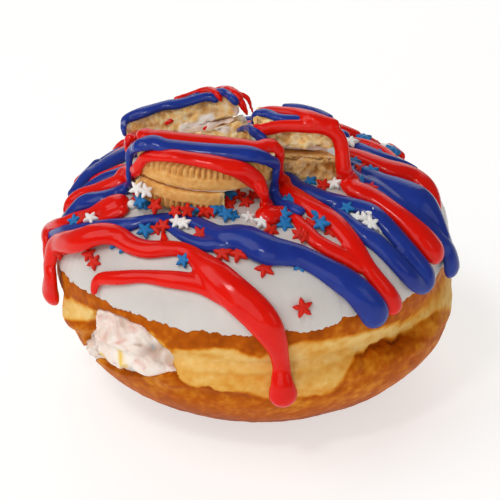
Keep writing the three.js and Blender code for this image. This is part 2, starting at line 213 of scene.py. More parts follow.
def within(pixels, outline_places):
    """Pixels inside a closed outline, less than nothing outside it."""
    corners = np.array(outline_places, float)
    inside = np.zeros(pixels.shape[:-1], bool)
    for a, b in zip(corners, np.roll(corners, -1, axis=0)):
        crosses = (a[1] > pixels[..., 1]) != (b[1] > pixels[..., 1])
        at = a[0] + (pixels[..., 1] - a[1]) * (b[0] - a[0]) / (b[1] - a[1] if b[1] != a[1] else 1e-9)
        inside ^= crosses & (pixels[..., 0] < at)
    return np.where(inside, 1, -1) * stroke(pixels, *outline_places, outline_places[0])


def smeared(pixels, width, *paths):
    """How much of a colour is smeared on, from 0 to 1, along lines in the picture."""
    nearest = np.min([stroke(pixels, *path) for path in paths], axis=0)
    return np.exp(-(nearest / width) ** 2)


print("the middle of the view is at", np.round(to_pixels(AIM), 1))


# %% [markdown]
# ## The form of the dough
# A filled doughnut is a ball of dough that was fried on one side and then on the other. Its lid
# and its base each swelled, and the waist between them stayed pale. The two halves are rounded
# bodies that melt together at a crease. A soft roll bulges out under the crease along the front,
# one lobe at the left and one at the right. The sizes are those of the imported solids.

# %% Distance to the dough, in millimetres
LID = dict(centre=(-0.5, 0.5, 36), radius=48, up=20, down=22, plan=2.9, side=2.1, tilt=0.035)
BASE = dict(centre=(1.6, 0, 22.5), radius=47.4, up=12, down=25.5, plan=1.85, side=1.85)
ROLL = dict(first=-116, last=-61, reach=44, height=23.6, radius=4.3)  # first and last are degrees round
EAR = dict(centre=(-39.2, -16.5, 27.3), radii=(7, 9, 5))  # beside the mouth
RIGHT_SWELL = dict(centre=(37.5, 4, 26.5), radii=(11.5, 27, 10))


def smooth_min(a, b, width):
    """The nearer of two forms, melted together where both are about as near."""
    near = np.maximum(width - np.abs(a - b), 0) / width
    return np.minimum(a, b) - near * near * width / 4


def lobe(p, centre, radius, up, down, plan, side, tilt=0.0):
    """A rounded body: plan and side are how square it is from above and from the side."""
    rise = p[..., 2] - tilt * p[..., 0] - centre[2]
    across = np.hypot(p[..., 0] - centre[0], p[..., 1] - centre[1]) / radius
    total = across ** plan + (np.abs(rise) / np.where(rise > 0, up, down)) ** side
    return (total ** (1 / max(plan, side)) - 1) * min(up, down)


def ellipsoid(p, centre, radii):
    return (np.linalg.norm((p - np.array(centre)) / radii, axis=-1) - 1) * min(radii)


def waist_roll(p):
    """Distance to a bent rod under the crease, round part of the waist."""
    azimuth = np.clip(np.arctan2(p[..., 1], p[..., 0]), np.radians(ROLL["first"]), np.radians(ROLL["last"]))
    middle = np.stack([ROLL["reach"] * np.cos(azimuth), ROLL["reach"] * np.sin(azimuth),
                       np.full(azimuth.shape, ROLL["height"])], -1)
    return np.linalg.norm(p - middle, axis=-1) - ROLL["radius"]


def dough(p):
    value = smooth_min(lobe(p, **LID), lobe(p, **BASE), 1)
    value = smooth_min(value, ellipsoid(p, **EAR), 1)
    value = smooth_min(value, ellipsoid(p, **RIGHT_SWELL), 2)
    value = smooth_min(value, waist_roll(p), 1)
    return np.maximum(value, -p[..., 2])  # the flat spot that it stands on


# %% [markdown]
# A form that is given by a distance has its skin where the distance is nothing. The field's slope
# says which way is out. From a point inside, halving finds the skin in any direction, and a grid of
# directions becomes a closed globe of points.

# %% From a distance to a skin
def slope(field, p):
    """How fast a field grows along x, y and z."""
    step = 0.05
    moves = np.eye(3) * step
    return np.stack([field(p + move) - field(p - move) for move in moves], -1) / (2 * step)


def outward(field, p):
    """The directions that lead straight out of a form."""
    steep = slope(field, p)
    return steep / np.maximum(np.linalg.norm(steep, axis=-1, keepdims=True), 1e-9)


def distance(field, p):
    """The field's value made true to length by its steepness."""
    return field(p) / np.maximum(np.linalg.norm(slope(field, p), axis=-1), 1e-9)


def skin(field, inside, directions, reach=90.0):
    """Where the form's skin is met from a point inside it, by halving."""
    near = np.zeros(directions.shape[:-1])
    far = np.full(near.shape, reach)
    for _ in range(24):
        middle = (near + far) / 2
        still_in = field(inside + directions * middle[..., None]) < 0
        near, far = np.where(still_in, middle, near), np.where(still_in, far, middle)
    return inside + directions * near[..., None]


HEART = np.array([0, 0, 27.0])  # a point deep in the bun that the skin is looked at from


def directions_at(azimuths, heights):
    """A grid of directions, one row for each angle above the horizon."""
    azimuth, height = np.meshgrid(azimuths, heights)
    return np.stack([np.cos(height) * np.cos(azimuth), np.cos(height) * np.sin(azimuth),
                     np.sin(height)], -1)


def globe_faces(rows, columns):
    """Faces of a closed globe: a first point, rows of columns points, and a last point."""
    start = 1 + np.arange(rows - 1)[:, None] * columns + np.arange(columns)[None]
    turn = 1 + np.arange(rows - 1)[:, None] * columns + (np.arange(columns)[None] + 1) % columns
    quads = np.stack([start, turn, turn + columns, start + columns], -1).reshape(-1, 4)
    first, second = 1 + np.arange(columns), 1 + (np.arange(columns) + 1) % columns
    low = np.stack([np.zeros(columns, int), second, first], -1)
    base = (rows - 1) * columns
    high = np.stack([first + base, second + base, np.full(columns, rows * columns + 1)], -1)
    return [quads, low, high]


def globe_points(grid, first, last):
    return np.concatenate([[first], grid.reshape(-1, 3), [last]])


top = skin(dough, HEART, np.array([0, 0, 1.0]))
print("the dough is", round(float(top[2]), 1), "mm tall in the middle")

# %% [markdown]
# ## The crust
# Fried yeast dough is a thin, dry skin over soft crumb. Where it lay in the oil it is brown, and
# round the waist, which stayed above the oil, it is pale gold. The skin is sampled as a globe with
# its rows close together where the crust shows. The mouth on the left of the front is pressed in,
# so that the cream can sit in it. Fine lumps and dimples are in the mesh itself.

# %% The bun
# The mouth's edge as places in the picture, and how deep it is pressed in, in millimetres.
MOUTH_EDGE = [(94, 310), (100, 309.5), (108, 310.5), (114.5, 314.5), (122, 318), (129.5, 322.5), (137, 325),
              (144.5, 328.5), (148, 333), (152, 337), (157, 341), (162, 348.5), (165, 353), (167.5, 357),
              (170, 361), (172, 364.5), (174, 368.5), (175, 371), (167, 372.5), (162, 374), (157, 375),
              (149.5, 376), (142, 376.5), (134.5, 376), (127, 374.5), (119.5, 372.5), (109.5, 367),
              (103, 362.5), (92, 358), (82, 352), (84.5, 343), (85.5, 339), (86.5, 334.5), (89, 331),
              (91, 329), (91, 324.5), (92, 318.5), (93.5, 313.5)]
MOUTH_DEPTH = 8
azimuths = np.radians(np.concatenate([np.linspace(-175, -2, 330, endpoint=False),
                                      np.linspace(-2, 185, 150, endpoint=False)]))
heights = np.radians(np.concatenate([np.linspace(-88, -50, 14), np.linspace(-49.5, 20, 150),
                                     np.linspace(24, 88, 12)]))
directions = directions_at(azimuths, heights)
wall = skin(dough, HEART, directions)
normals = outward(dough, wall)
seen = ramp(normals @ BACK, 0.02, 0.15)  # 1 where the picture shows the skin, 0 at the back
places = to_pixels(wall)
azimuth_grid, z_grid = np.broadcast_to(azimuths, wall.shape[:2]), wall[..., 2]
in_mouth = np.where(normals @ BACK > -0.25, within(places, MOUTH_EDGE), -9) + 1.2 * rough(wall, 2.5, 3)
wrinkles = rough(wall * (1, 1, 3.2), 5, 19, 3) * ramp(z_grid, 15, 22) * ramp(40 - z_grid, 2, 8)
lumps = 0.2 * rough(wall, 9, 11) + 0.08 * rough(wall, 2.2, 17, 3) + 0.16 * wrinkles
lumps *= ramp(z_grid, 0.2, 3)
bun_grid = wall + normals * lumps[..., None]
bun_grid -= directions * (MOUTH_DEPTH * ramp(in_mouth, -0.6, 2.6))[..., None]


# %% [markdown]
# The waist has two folds. The lid overhangs the roll along one, and its lip is torn at the right.
# The roll overhangs the base along the other. Each is a line read off the picture: what lies just
# under it is drawn in, most at the line, so that the skin above it hangs over a little shadow.

# %% Folds of the waist
def fold(line, depths, reach):
    """Millimetres that the skin is drawn in under a line. Depths go along it, and reach is in pixels."""
    across, down_line = zip(*line)
    below = places[..., 1] - np.interp(places[..., 0], across, down_line) + 0.5 * rough(wall, 1.5, 61)
    depths_here = np.interp(np.linspace(0, 1, len(line)), np.linspace(0, 1, len(depths)), depths)
    deep = np.interp(places[..., 0], across, depths_here, 0, 0)
    return deep * ramp(below, -0.9, 0.9) * np.exp(-np.maximum(below, 0) / reach) * seen


LID_LINE = [(182, 368), (192, 370), (210, 371), (230, 372), (250, 373), (270, 374), (290, 372.5),
            (304, 371.5), (318, 369), (330, 364), (342, 358), (352, 354), (358, 352.5), (364, 352.5),
            (366, 350), (370, 344), (377, 343), (380, 340), (387, 337), (394, 340), (399, 335),
            (408, 329.5), (418, 323), (428, 317), (437, 310)]
ROLL_LINE = [(171, 363), (175, 372), (178, 379), (183, 385), (190, 388.5), (198, 389.5), (204, 387.5),
             (209, 388), (214, 391), (220, 392.5), (232, 393), (245, 395)]
LID_DEPTHS = (0, 0.8, 1.0, 1.0, 0.9, 0.8, 1.2, 2.1, 2.3, 1.8, 1.1, 0.5)
ROLL_DEPTHS = (1.2, 2.0, 2.2, 1.8, 1.0, 0.3)
drawn_in = fold(LID_LINE, LID_DEPTHS, 6) + fold(ROLL_LINE, ROLL_DEPTHS, 8)
bun_grid -= normals * (drawn_in * (1 - ramp(in_mouth, -2, 0)))[..., None]
print("the deepest fold is", round(float(drawn_in.max()), 1), "mm")


# %% [markdown]
# How brown the crust is, from 0 to 1, is worked out for each point of the mesh and kept as a
# colour attribute that the material reads. It also holds painted shade: darker in the folds and in
# the hollow under the torn lip. The borders between brown and pale waver, because oil laps at them.
# Where the picture shows the crust its pale patches are outlined as they lie there.

# %% Browning of the crust
def smooth_band(azimuth, *places):
    """A height that follows the azimuth round the bun, through the given (degrees, height) places."""
    degrees, heights = zip(*places)
    return np.interp(np.degrees(azimuth), degrees, heights, period=360)


PALE_WAIST = [(148, 333), (152, 333), (156, 338), (161, 342), (166, 347), (172, 351), (180, 351),
              (190, 350), (200, 349), (215, 348), (230, 349), (240, 352), (250, 357), (260, 358),
              (270, 353), (290, 347), (300, 343), (310, 341), (330, 341), (340, 339), (350, 336.5),
              (360, 334), (370, 331), (380, 328), (390, 325), (400, 321), (410, 315), (420, 308),
              (430, 302), (437, 290), (443, 276), (448, 262), (460, 262), (460, 315), (450, 326),
              (442, 334), (434, 338), (425, 337), (415, 338), (408, 338), (402, 334.5), (394, 340),
              (383, 337.5), (377, 343), (370, 344), (364, 352.5), (358, 352.5), (352, 362), (346, 374),
              (342, 384), (334, 391), (322, 396), (308, 398), (285, 399), (270, 399), (258, 397),
              (245, 394), (232, 392), (220, 391.5), (214, 390), (204, 387), (198, 389), (190, 388),
              (183, 384), (178, 378), (175, 371), (172, 365), (167, 357), (160, 345)]
PALE_EAR = [(45, 285), (60, 292), (66, 296), (72, 299), (80, 304), (88, 308.5), (94, 311), (92, 318),
            (88, 321), (80, 323), (74, 323), (60, 321), (45, 312)]
waver = 0.9 * rough(wall, 7, 23) + 0.35 * rough(wall, 1.8, 29)
brown_border = smooth_band(azimuth_grid, (-160, 32), (-134, 34), (-111, 32.1), (-91, 32.4), (-74, 31.6),
                           (-62, 34.6), (-42, 33.3), (-28, 34.5), (0, 35.5), (60, 33), (120, 32.5))
pale_foot = smooth_band(azimuth_grid, (-160, 22), (-134, 16), (-111, 22.5), (-91, 20.6), (-70, 20.4),
                        (-60, 24.5), (-45, 22.5), (-30, 18), (0, 15.5), (60, 19), (120, 20))
pale_round = ramp(brown_border - z_grid - waver, -1.3, 1.3) * ramp(z_grid - pale_foot + waver, -2, 1)
patch = np.maximum(within(places, PALE_WAIST), within(places, PALE_EAR)) + 2.2 * waver
soft_right = ramp(places[..., 0], 395, 430)
pale_seen = ramp(patch, -2.2 - 5 * soft_right, 3.0 + 9 * soft_right)
pale = pale_round * (1 - seen) + pale_seen * seen
above = ramp(z_grid, 29, 33)
line_x, line_y = zip(*LID_LINE)
under_lid = ramp(places[..., 1] - np.interp(places[..., 0], line_x, line_y), -6, 4) * seen
BROWN, PALE = 0.62, 0.14  # how brown the crust is where it lay in the oil, and round the waist
brown_here = BROWN + 0.1 * above + 0.34 * ramp(16 - z_grid, 0, 12)  # darkest underneath
browning_and_shade = brown_here * (1 - pale) + (PALE - 0.06 * above + 0.1 * under_lid) * pale
# Painted shade: the pale crust is browner in the hollow under the torn lip at the right.
browning_and_shade += 0.26 * under_lid * ramp(places[..., 0], 378, 405) * pale  # the shaded hollow at the right
browning_and_shade += 0.12 * ramp(0.6 - np.abs(patch) / 9, 0, 0.6) * (1 - pale) * (1 - above) * seen
# Painted shade: the crust is darker where the folds draw the skin in.
browning_and_shade += 0.09 * rough(wall, 5, 31) + 0.1 * np.minimum(drawn_in, 2) - 0.05 * wrinkles
browning_and_shade = np.clip(browning_and_shade + 0.1 * rough(wall, 1.2, 37), 0, 1)


print("browning from", round(float(browning_and_shade.min()), 2), "to", round(float(browning_and_shade.max()), 2))

# %% [markdown]
# The material turns that number into a colour with a ramp from pale gold to dark brown, and adds
# mottling and pores that are too fine for the mesh.

# %% Fried crust
def crust_material():
    # Fried yeast dough: a dry, faintly waxy skin over scattering crumb. The eye sees soft, wide
    # highlights, and colour that varies in blotches of about 2.4 mm. The pores are drawn 0.7 mm
    # apart, coarser than real ones, so that they show.
    material, tree, skin_shader = new_material("fried yeast crust")
    where = add(tree, "ShaderNodeTexCoord").outputs["Object"]
    mottle = add(tree, "ShaderNodeTexNoise", {"Vector": where, "Scale": 420.0, "Detail": 4.0})
    spread = {"Value": mottle.outputs["Fac"], "To Min": -0.12, "To Max": 0.12}
    shift = add(tree, "ShaderNodeMapRange", spread)
    # The attribute holds how brown the crust is, with painted shade in its folds and under the lip.
    browned_and_shaded = add(tree, "ShaderNodeAttribute", attribute_name="browning_and_shade").outputs["Fac"]
    level = add(tree, "ShaderNodeMath", {0: browned_and_shaded, 1: shift.outputs[0]}, operation="ADD")
    colours = add(tree, "ShaderNodeValToRGB", {"Fac": level.outputs[0]})
    set_ramp(colours, ((0.0, "#efca80"), (0.2, "#e5b058"), (0.45, "#d98b20"), (0.68, "#b95902"),
                       (1.0, "#843600")))
    pores = add(tree, "ShaderNodeTexNoise", {"Vector": where, "Scale": 1500.0, "Detail": 3.0})
    bump = add(tree, "ShaderNodeBump", {"Height": pores.outputs["Fac"], "Strength": 0.25, "Distance": 0.0003})
    tree.links.new(colours.outputs["Color"], skin_shader.inputs["Base Color"])
    tree.links.new(bump.outputs["Normal"], skin_shader.inputs["Normal"])
    skin_shader.inputs["Roughness"].default_value = 0.52
    skin_shader.inputs["Specular IOR Level"].default_value = 0.06
    scatters(skin_shader, 0.12, (4, 2, 1))
    return material


bun_points = globe_points(bun_grid, (0, 0, 0), top)
bun = mesh_object("crust", bun_points, globe_faces(*bun_grid.shape[:2]), crust_material(),
                  {"browning_and_shade": np.concatenate([[0.9], browning_and_shade.ravel(), [0.8]])})
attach(bun, "root")
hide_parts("bun")

# %% [markdown]
# ## The icing
# The doughnut was dipped head first into white fondant icing, which ran down a little and set.
# It is a smooth skin 1.5 mm thick that thins out towards a ragged edge. The cap is one closed
# globe: down its outer side, round the edge and back up just under the crust.


# %% The white icing
def icing_edge(azimuth):
    """How high the icing's edge is round the bun, as read off the picture and guessed behind."""
    places = ((-162.5, 37.3), (-150.7, 37.9), (-144.6, 38.2), (-136, 38.4), (-125, 38.6), (-116, 37.7),
              (-109, 37.3), (-99, 37.0), (-90, 37.3), (-81, 38.0), (-74, 37.1), (-66, 37.7), (-64, 39.2),
              (-61, 39.0), (-44, 37.8), (-40, 38.2), (-25, 37.0), (-22, 38.2), (10, 37.4), (45, 38.3),
              (80, 37.5), (115, 38.4), (150, 37.6), (180, 38))
    return smooth_band(azimuth, *places)


RIM = 48  # millimetres from the middle to the icing's edge
ICING, EDGE_SHARE = 1.5, 0.38  # its thickness in millimetres, and how much of that is left at the edge
THINS_FROM = 0.86  # of the way down to the edge
rim_points = RIM * np.stack([np.cos(azimuths), np.sin(azimuths), np.zeros(azimuths.shape)], -1)
ragged = 0.5 * rough(rim_points, 3.0, 41) + 0.42 * rough(rim_points, 0.9, 43)
edge_angle = np.arctan2(icing_edge(azimuths) + ragged - HEART[2], RIM)
grid_rows, grid_levels = [], []
for part in np.concatenate([np.linspace(0.03, THINS_FROM, 48), np.linspace(0.87, 1, 26)]):
    grid_rows.append(np.pi / 2 + (edge_angle - np.pi / 2) * part)
    grid_levels.append(np.full(azimuths.shape, 1 - (1 - EDGE_SHARE) * ramp(part, THINS_FROM, 1.0)))
for turn in np.linspace(0.15, 1, 6) * np.pi / 2:  # round the edge
    grid_rows.append(edge_angle - 0.011 * np.sin(turn))
    grid_levels.append(np.full(azimuths.shape, EDGE_SHARE * np.cos(turn) - 0.25 * (turn > 1.5)))
for part in (0.985, 0.9, 0.7, 0.4, 0.1):  # back up under the crust
    grid_rows.append(np.pi / 2 + (edge_angle - np.pi / 2) * part)
    grid_levels.append(np.full(azimuths.shape, -0.4))
angle, level = np.array(grid_rows), np.array(grid_levels)
azimuth_here = np.broadcast_to(azimuths, angle.shape)
icing_directions = np.stack([np.cos(angle) * np.cos(azimuth_here), np.cos(angle) * np.sin(azimuth_here),
                             np.sin(angle)], -1)
under_icing = skin(dough, HEART, icing_directions)
wave = 0.16 * rough(under_icing, 13, 47, 2) * (level > 0.9)
icing_grid = under_icing + outward(dough, under_icing) * (ICING * level + wave)[..., None]


# %% [markdown]
# Set icing hardly has a pattern. What makes it icing to the eye is a soft sheen on a body that
# light enters a little way.

# %% Fondant icing
def icing_material():
    # Set fondant icing: sugar so fine that it scatters like paint, with a satin skin. Its colour
    # clouds over 11 mm. Its grains are too fine to show, so ripples of 1.1 mm stand in for them.
    material, tree, shader = new_material("set white fondant icing")
    where = add(tree, "ShaderNodeTexCoord").outputs["Object"]
    cloud = add(tree, "ShaderNodeTexNoise", {"Vector": where, "Scale": 90.0, "Detail": 3.0})
    colours = add(tree, "ShaderNodeValToRGB", {"Fac": cloud.outputs["Fac"]})
    set_ramp(colours, ((0.3, "#cec7c1"), (0.7, "#d6d0ca")))
    fine = add(tree, "ShaderNodeTexNoise", {"Vector": where, "Scale": 900.0, "Detail": 2.0})
    bump = add(tree, "ShaderNodeBump", {"Height": fine.outputs["Fac"], "Strength": 0.08, "Distance": 0.0002})
    tree.links.new(colours.outputs["Color"], shader.inputs["Base Color"])
    tree.links.new(bump.outputs["Normal"], shader.inputs["Normal"])
    shader.inputs["Roughness"].default_value = 0.36
    scatters(shader, 0.15, (2, 1.8, 1.5))
    return material


icing_points = globe_points(icing_grid[::-1], top - (0, 0, 0.6), top + (0, 0, ICING))
icing = mesh_object("white_icing", icing_points, globe_faces(*icing_grid.shape[:2]), icing_material())
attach(icing, "root")
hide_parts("icing")

# %% [markdown]
# ## The cream
# Vanilla cream with coloured specks fills the doughnut and swells out at the mouth. It was piped
# in, so it shows folds and smeared swirls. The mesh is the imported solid's own form, drawn finely,
# with soft ridges pushed out of it.

# %% The cream filling
MOUTH = np.array([np.cos(np.radians(-134)), np.sin(np.radians(-134)), 0])
SIDE = np.array([-MOUTH[1], MOUTH[0], 0])
# Along the mouth's direction, across it and up: what fills the middle, and what swells out of the mouth.
PLUG = dict(centre=(10, 0, 27.5), radii=(34, 21, 5))
BULGE = dict(centre=(38, 0, 27), radii=(12.5, 20, 13))


def cream_field(p):
    local = np.stack([p @ MOUTH, p @ SIDE, p[..., 2]], -1)
    return smooth_min(ellipsoid(local, **PLUG), ellipsoid(local, **BULGE), 5)


def drawn_out(p, along, across, sizes):
    """Places for a noise that is long one way, as the strokes of a piping nozzle are."""
    side, rise = p @ SIDE, p[..., 2]
    return np.stack([side * along - rise * across, side * across + rise * along, p @ MOUTH], -1) / sizes


cream_heart = MOUTH * 32 + np.array([0, 0, 27.5])
cream_azimuths = np.linspace(-np.pi, np.pi, 340, endpoint=False)
cream_directions = directions_at(cream_azimuths, np.radians(np.linspace(-88, 88, 150)))
cream_wall = skin(cream_field, cream_heart, cream_directions)
cream_normals = outward(cream_field, cream_wall)
cream_places = to_pixels(cream_wall)
warped = cream_wall + 2.4 * np.stack([noise(cream_wall, 7, seed) for seed in (51, 52, 53)], -1)
folds = 1 - 2 * np.abs(noise(warped * (1, 1, 1.5), 6, 54))
folds = 0.8 * folds + 0.35 * (1 - 2 * np.abs(noise(warped, 2.6, 55)))
smears = 1 - 2 * np.abs(noise(drawn_out(warped, 0.82, 0.57, (5.5, 1.1, 3)), 1.0, 57))
from_pocket = np.linalg.norm((cream_places - (150, 352)) / (14, 9), axis=-1)
pocket = np.exp(-from_pocket ** 2 * 1.3)  # the hollow under the lid at the right of the mouth
relief = (folds - 0.5) * 1.35 + smears * 0.7 - 2.0 * pocket + 0.1 * rough(cream_wall, 1.0, 56)
showing = ramp(cream_wall @ MOUTH, 34, 41)
cream_grid = cream_wall + cream_normals * (relief * showing)[..., None]
# It may stand out of the dough in the middle of the mouth, and not near the mouth's edge.
room_out = -1.6 + 5.6 * ramp(within(to_pixels(cream_grid), MOUTH_EDGE), -3, 9)
too_far = np.maximum(distance(dough, cream_grid) - room_out, 0) * showing
cream_grid -= outward(dough, cream_grid) * too_far[..., None]
print("the folds of the cream are", round(float(np.ptp(relief)), 1), "mm from peak to valley")

# %% [markdown]
# Crushed coloured sweets were stirred into the cream. Some left a blur of pink, and some are still
# flecks. Those that the picture shows are strokes in the places where they lie there. The valleys
# between the folds, the hollows and the pocket under the lid get painted shade, a darker colour.

# %% Colours in the cream
PINK_BLURS = [[(92, 334), (97, 340)], [(108, 330), (97, 345)], [(131, 328), (148, 331)],
              [(112, 346), (128, 340)], [(100, 318), (110, 316)]]
PINK_FLECKS = [[(133, 361), (142, 366)], [(137, 355), (147, 363)], [(160, 366), (172, 367)],
               [(112, 321), (113, 321.5)], [(118, 344), (126, 341)]]
YELLOW_FLECKS = [[(114, 355), (118, 361), (124, 368)], [(96, 354), (98, 356)]]
TEAL_FLECKS = [[(130, 370), (133, 375)], [(150, 344), (151, 349)]]
# Strokes where painted shade darkens the cream's hollows.
HOLLOW_SHADE = [[(160, 349.5), (163, 352)], [(136, 344), (140, 345)]]
facing = cream_normals @ BACK > 0
blotches = 0.7 + 0.5 * rough(cream_wall, 1.5, 58)
uneven = cream_places + 2.2 * np.stack([noise(cream_wall, 2.2, seed) for seed in (59, 62)], -1)
streaks = ramp(noise(drawn_out(warped, 0.75, 0.66, (4.5, 0.9, 3)), 1.0, 63), 0.3, 0.9)
# Painted shade in the valleys between the folds.
valley_shade = ramp(0.35 - folds, 0, 0.9) * 0.45 + ramp(-smears, 0.1, 0.9) * 0.16
pink = (0.3 * pocket + 0.38 * streaks + 0.45 * smeared(uneven, 3.2, *PINK_BLURS)
        + 0.6 * smeared(uneven, 1.6, *PINK_FLECKS))
# Painted shade: the hollows, the pocket under the lid and the valleys get a darker colour.
dark = 0.8 * smeared(uneven, 1.5, *HOLLOW_SHADE) + 0.45 * pocket + valley_shade
cream_colours = {"pink": np.clip(pink, 0, 1) * blotches * facing,
                 "yellow": smeared(uneven, 2.3, *YELLOW_FLECKS) * facing,
                 "dark": np.clip(dark, 0, 1) * facing,
                 "teal": 0.8 * smeared(uneven, 1.2, *TEAL_FLECKS) * facing}


# %% [markdown]
# One recipe serves both creams: the whipped one in the doughnut, and the stiffer sugar cream in the
# cookies. The flecks and the painted shade mix in where the mesh keeps a number for them. Where it
# keeps none, as in the cookies, the number is nothing and the cream stays plain.

# %% Whipped cream
def cream_material(name):
    # Whipped cream: fat and air scatter the light, so it looks soft and has no hard edge. It is
    # swirled in streaks about 8 mm long.
    material, tree, shader = new_material(name)
    where = add(tree, "ShaderNodeTexCoord").outputs["Object"]
    swirl = add(tree, "ShaderNodeTexNoise", {"Vector": where, "Scale": 130.0, "Detail": 3.0,
                                             "Distortion": 1.2})
    colours = add(tree, "ShaderNodeValToRGB", {"Fac": swirl.outputs["Fac"]})
    set_ramp(colours, ((0.3, "#f9f0e6"), (0.55, "#f5e4d8"), (0.75, "#ecd2c2")))
    colour = colours.outputs["Color"]
    # The dark attribute mixes in painted shade.
    for key, hexcode in (("pink", "#dc9683"), ("dark", "#b08f78"), ("yellow", "#efc83e"),
                         ("teal", "#8fb3b8")):
        amount = add(tree, "ShaderNodeAttribute", attribute_name=key).outputs["Fac"]
        mix = add(tree, "ShaderNodeMix", {"Factor": amount, "A": colour, "B": linear(hexcode)},
                  data_type="RGBA")
        colour = mix.outputs["Result"]
    tree.links.new(colour, shader.inputs["Base Color"])
    shader.inputs["Roughness"].default_value = 0.38
    scatters(shader, 0.18, (3, 2, 1.5))
    return material


whipped = cream_material("whipped vanilla cream")
low_end, high_end = skin(cream_field, cream_heart, np.array([[0, 0, -1.0], [0, 0, 1.0]]))
marks = {key: np.concatenate([[0], values.ravel(), [0]]) for key, values in cream_colours.items()}
filling = mesh_object("cream_filling", globe_points(cream_grid, low_end, high_end),
                      globe_faces(*cream_grid.shape[:2]), whipped, marks)
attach(filling, "root")
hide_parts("filling")

# %% [markdown]
# ## The sandwich cookies
# Three pieces of broken sandwich cookie stand in the icing. Each wafer is a pressed and baked disc
# with ridges on the outer half of its rim. The plan of each piece is a circle less what broke off.
# A field again says how far a point is from the wafer, so that the drizzle can find its top.

# %% Where the cookies are
COOKIE_RADIUS, WAFER = 21.5, 6.4  # a wafer's radius and thickness in millimetres
# The centre is the middle of the underside. Pitch, lean and turn are degrees round x, y and z. The
# cream is so thick, stays inset from the rim, is spread over the break and has a squeezed rim.
# Lower shade is painted shade: how much darker the lower wafer's break is. Smeared says whether
# cream sticks to the broken faces.
# Each wafer's breaks are given as directions in degrees and distances from its middle.
COOKIES = {
    "front": dict(centre=(-11.4, -2, 57.4), pitch=7, lean=3, turn=0,
                  cream=0.8, inset=3.4, spread=0, squeezed=0.25, lower_shade=0.0, smeared=0,
                  lower=[(90, -8.5), (15, -0.8), (180, 16.5)],
                  upper=[(90, -8), (0, 16), (180, 16)]),
    "back": dict(centre=(-8.5, 3.3, 58.9), pitch=-16, lean=-16.5, turn=8,
                 cream=1.6, inset=0.5, spread=0.3, squeezed=0.9, lower_shade=0.0, smeared=1,
                 lower=[(-90, -1), (90, 11), (0, 9), (180, 17)],
                 upper=[(-90, -2), (90, 10), (0, 7.6), (180, 20)]),
    "right": dict(centre=(1, -17.5, 58), pitch=-3, lean=2, turn=0,
                  cream=2.2, inset=2.8, spread=0, squeezed=0.6, lower_shade=0.45, smeared=0,
                  lower=[(-90, -9), (180, 0.5)],
                  upper=[(-90, -9), (180, 0.9), (110, 17.8)]),
}


def cookie_turn(cookie):
    """How a cookie is turned, as a matrix."""
    spin = (Matrix.Rotation(np.radians(cookie["lean"]), 3, "Y")
            @ Matrix.Rotation(np.radians(cookie["pitch"]), 3, "X")
            @ Matrix.Rotation(np.radians(cookie["turn"]), 3, "Z"))
    return np.array(spin)


def to_cookie(cookie, p):
    """Points as the cookie sees them: its underside is level and its middle is nothing."""
    return (p - np.array(cookie["centre"])) @ cookie_turn(cookie)


def from_cookie(cookie, local):
    """The way back, from the cookie's own places."""
    return local @ cookie_turn(cookie).T + np.array(cookie["centre"])


def plan_distance(local, breaks):
    """Distance, seen from above, to a circle less what broke off."""
    value = np.hypot(local[..., 0], local[..., 1]) - COOKIE_RADIUS
    for degrees, reach in breaks:
        along = np.radians(degrees)
        value = np.maximum(value, local[..., 0] * np.cos(along) + local[..., 1] * np.sin(along) - reach)
    return value


def slab_distance(local, breaks, low, high, rounding=1.2):
    """Distance to a wafer between two levels, with rounded edges."""
    side = plan_distance(local, breaks) + rounding
    level = np.abs(local[..., 2] - (low + high) / 2) - (high - low) / 2 + rounding
    beyond = np.hypot(np.maximum(side, 0), np.maximum(level, 0))
    return beyond + np.minimum(np.maximum(side, level), 0) - rounding


def cookie_distance(p):
    """Distance to the nearest wafer of any cookie."""
    nearest = np.full(p.shape[:-1], 1e3)
    for cookie in COOKIES.values():
        local = to_cookie(cookie, p)
        high = 2 * WAFER + cookie["cream"]
        nearest = np.minimum(nearest, slab_distance(local, cookie["lower"], 0, WAFER))
        nearest = np.minimum(nearest, slab_distance(local, cookie["upper"], WAFER + cookie["cream"], high))
    return nearest


# %% [markdown]
# A voxel remesh turns any closed shape into an even net of small squares. That is what crumbly or
# poured food needs, because rough noise or a melted joint then finds points everywhere.


# %% Remeshing and smoothing
def remeshed(points, faces, voxel, rounds):
    """The skin of a shape as an even net, smoothed: its points and its faces."""
    mesh = bpy.data.meshes.new("rough_shape")
    mesh.from_pydata(points.tolist(), [], [face for group in faces for face in group.tolist()])
    shape = bpy.data.objects.new("rough_shape", mesh)
    bpy.context.scene.collection.objects.link(shape)
    change = shape.modifiers.new("net", "REMESH")
    change.mode = "VOXEL"
    change.voxel_size = voxel
    ready = bpy.data.meshes.new_from_object(shape.evaluated_get(bpy.context.evaluated_depsgraph_get()))
    places = np.zeros(len(ready.vertices) * 3)
    ready.vertices.foreach_get("co", places)
    corners = np.zeros(len(ready.loops), int)
    ready.loops.foreach_get("vertex_index", corners)
    sizes = np.zeros(len(ready.polygons), int)
    ready.polygons.foreach_get("loop_total", sizes)
    edges = np.zeros(len(ready.edges) * 2, int)
    ready.edges.foreach_get("vertices", edges)
    starts = np.concatenate([[0], np.cumsum(sizes)[:-1]])
    groups = [corners[starts[sizes == n][:, None] + np.arange(n)] for n in np.unique(sizes)]
    bpy.data.objects.remove(shape)
    bpy.data.meshes.remove(mesh)
    bpy.data.meshes.remove(ready)
    return smoothed(places.reshape(-1, 3), edges.reshape(-1, 2), rounds), groups


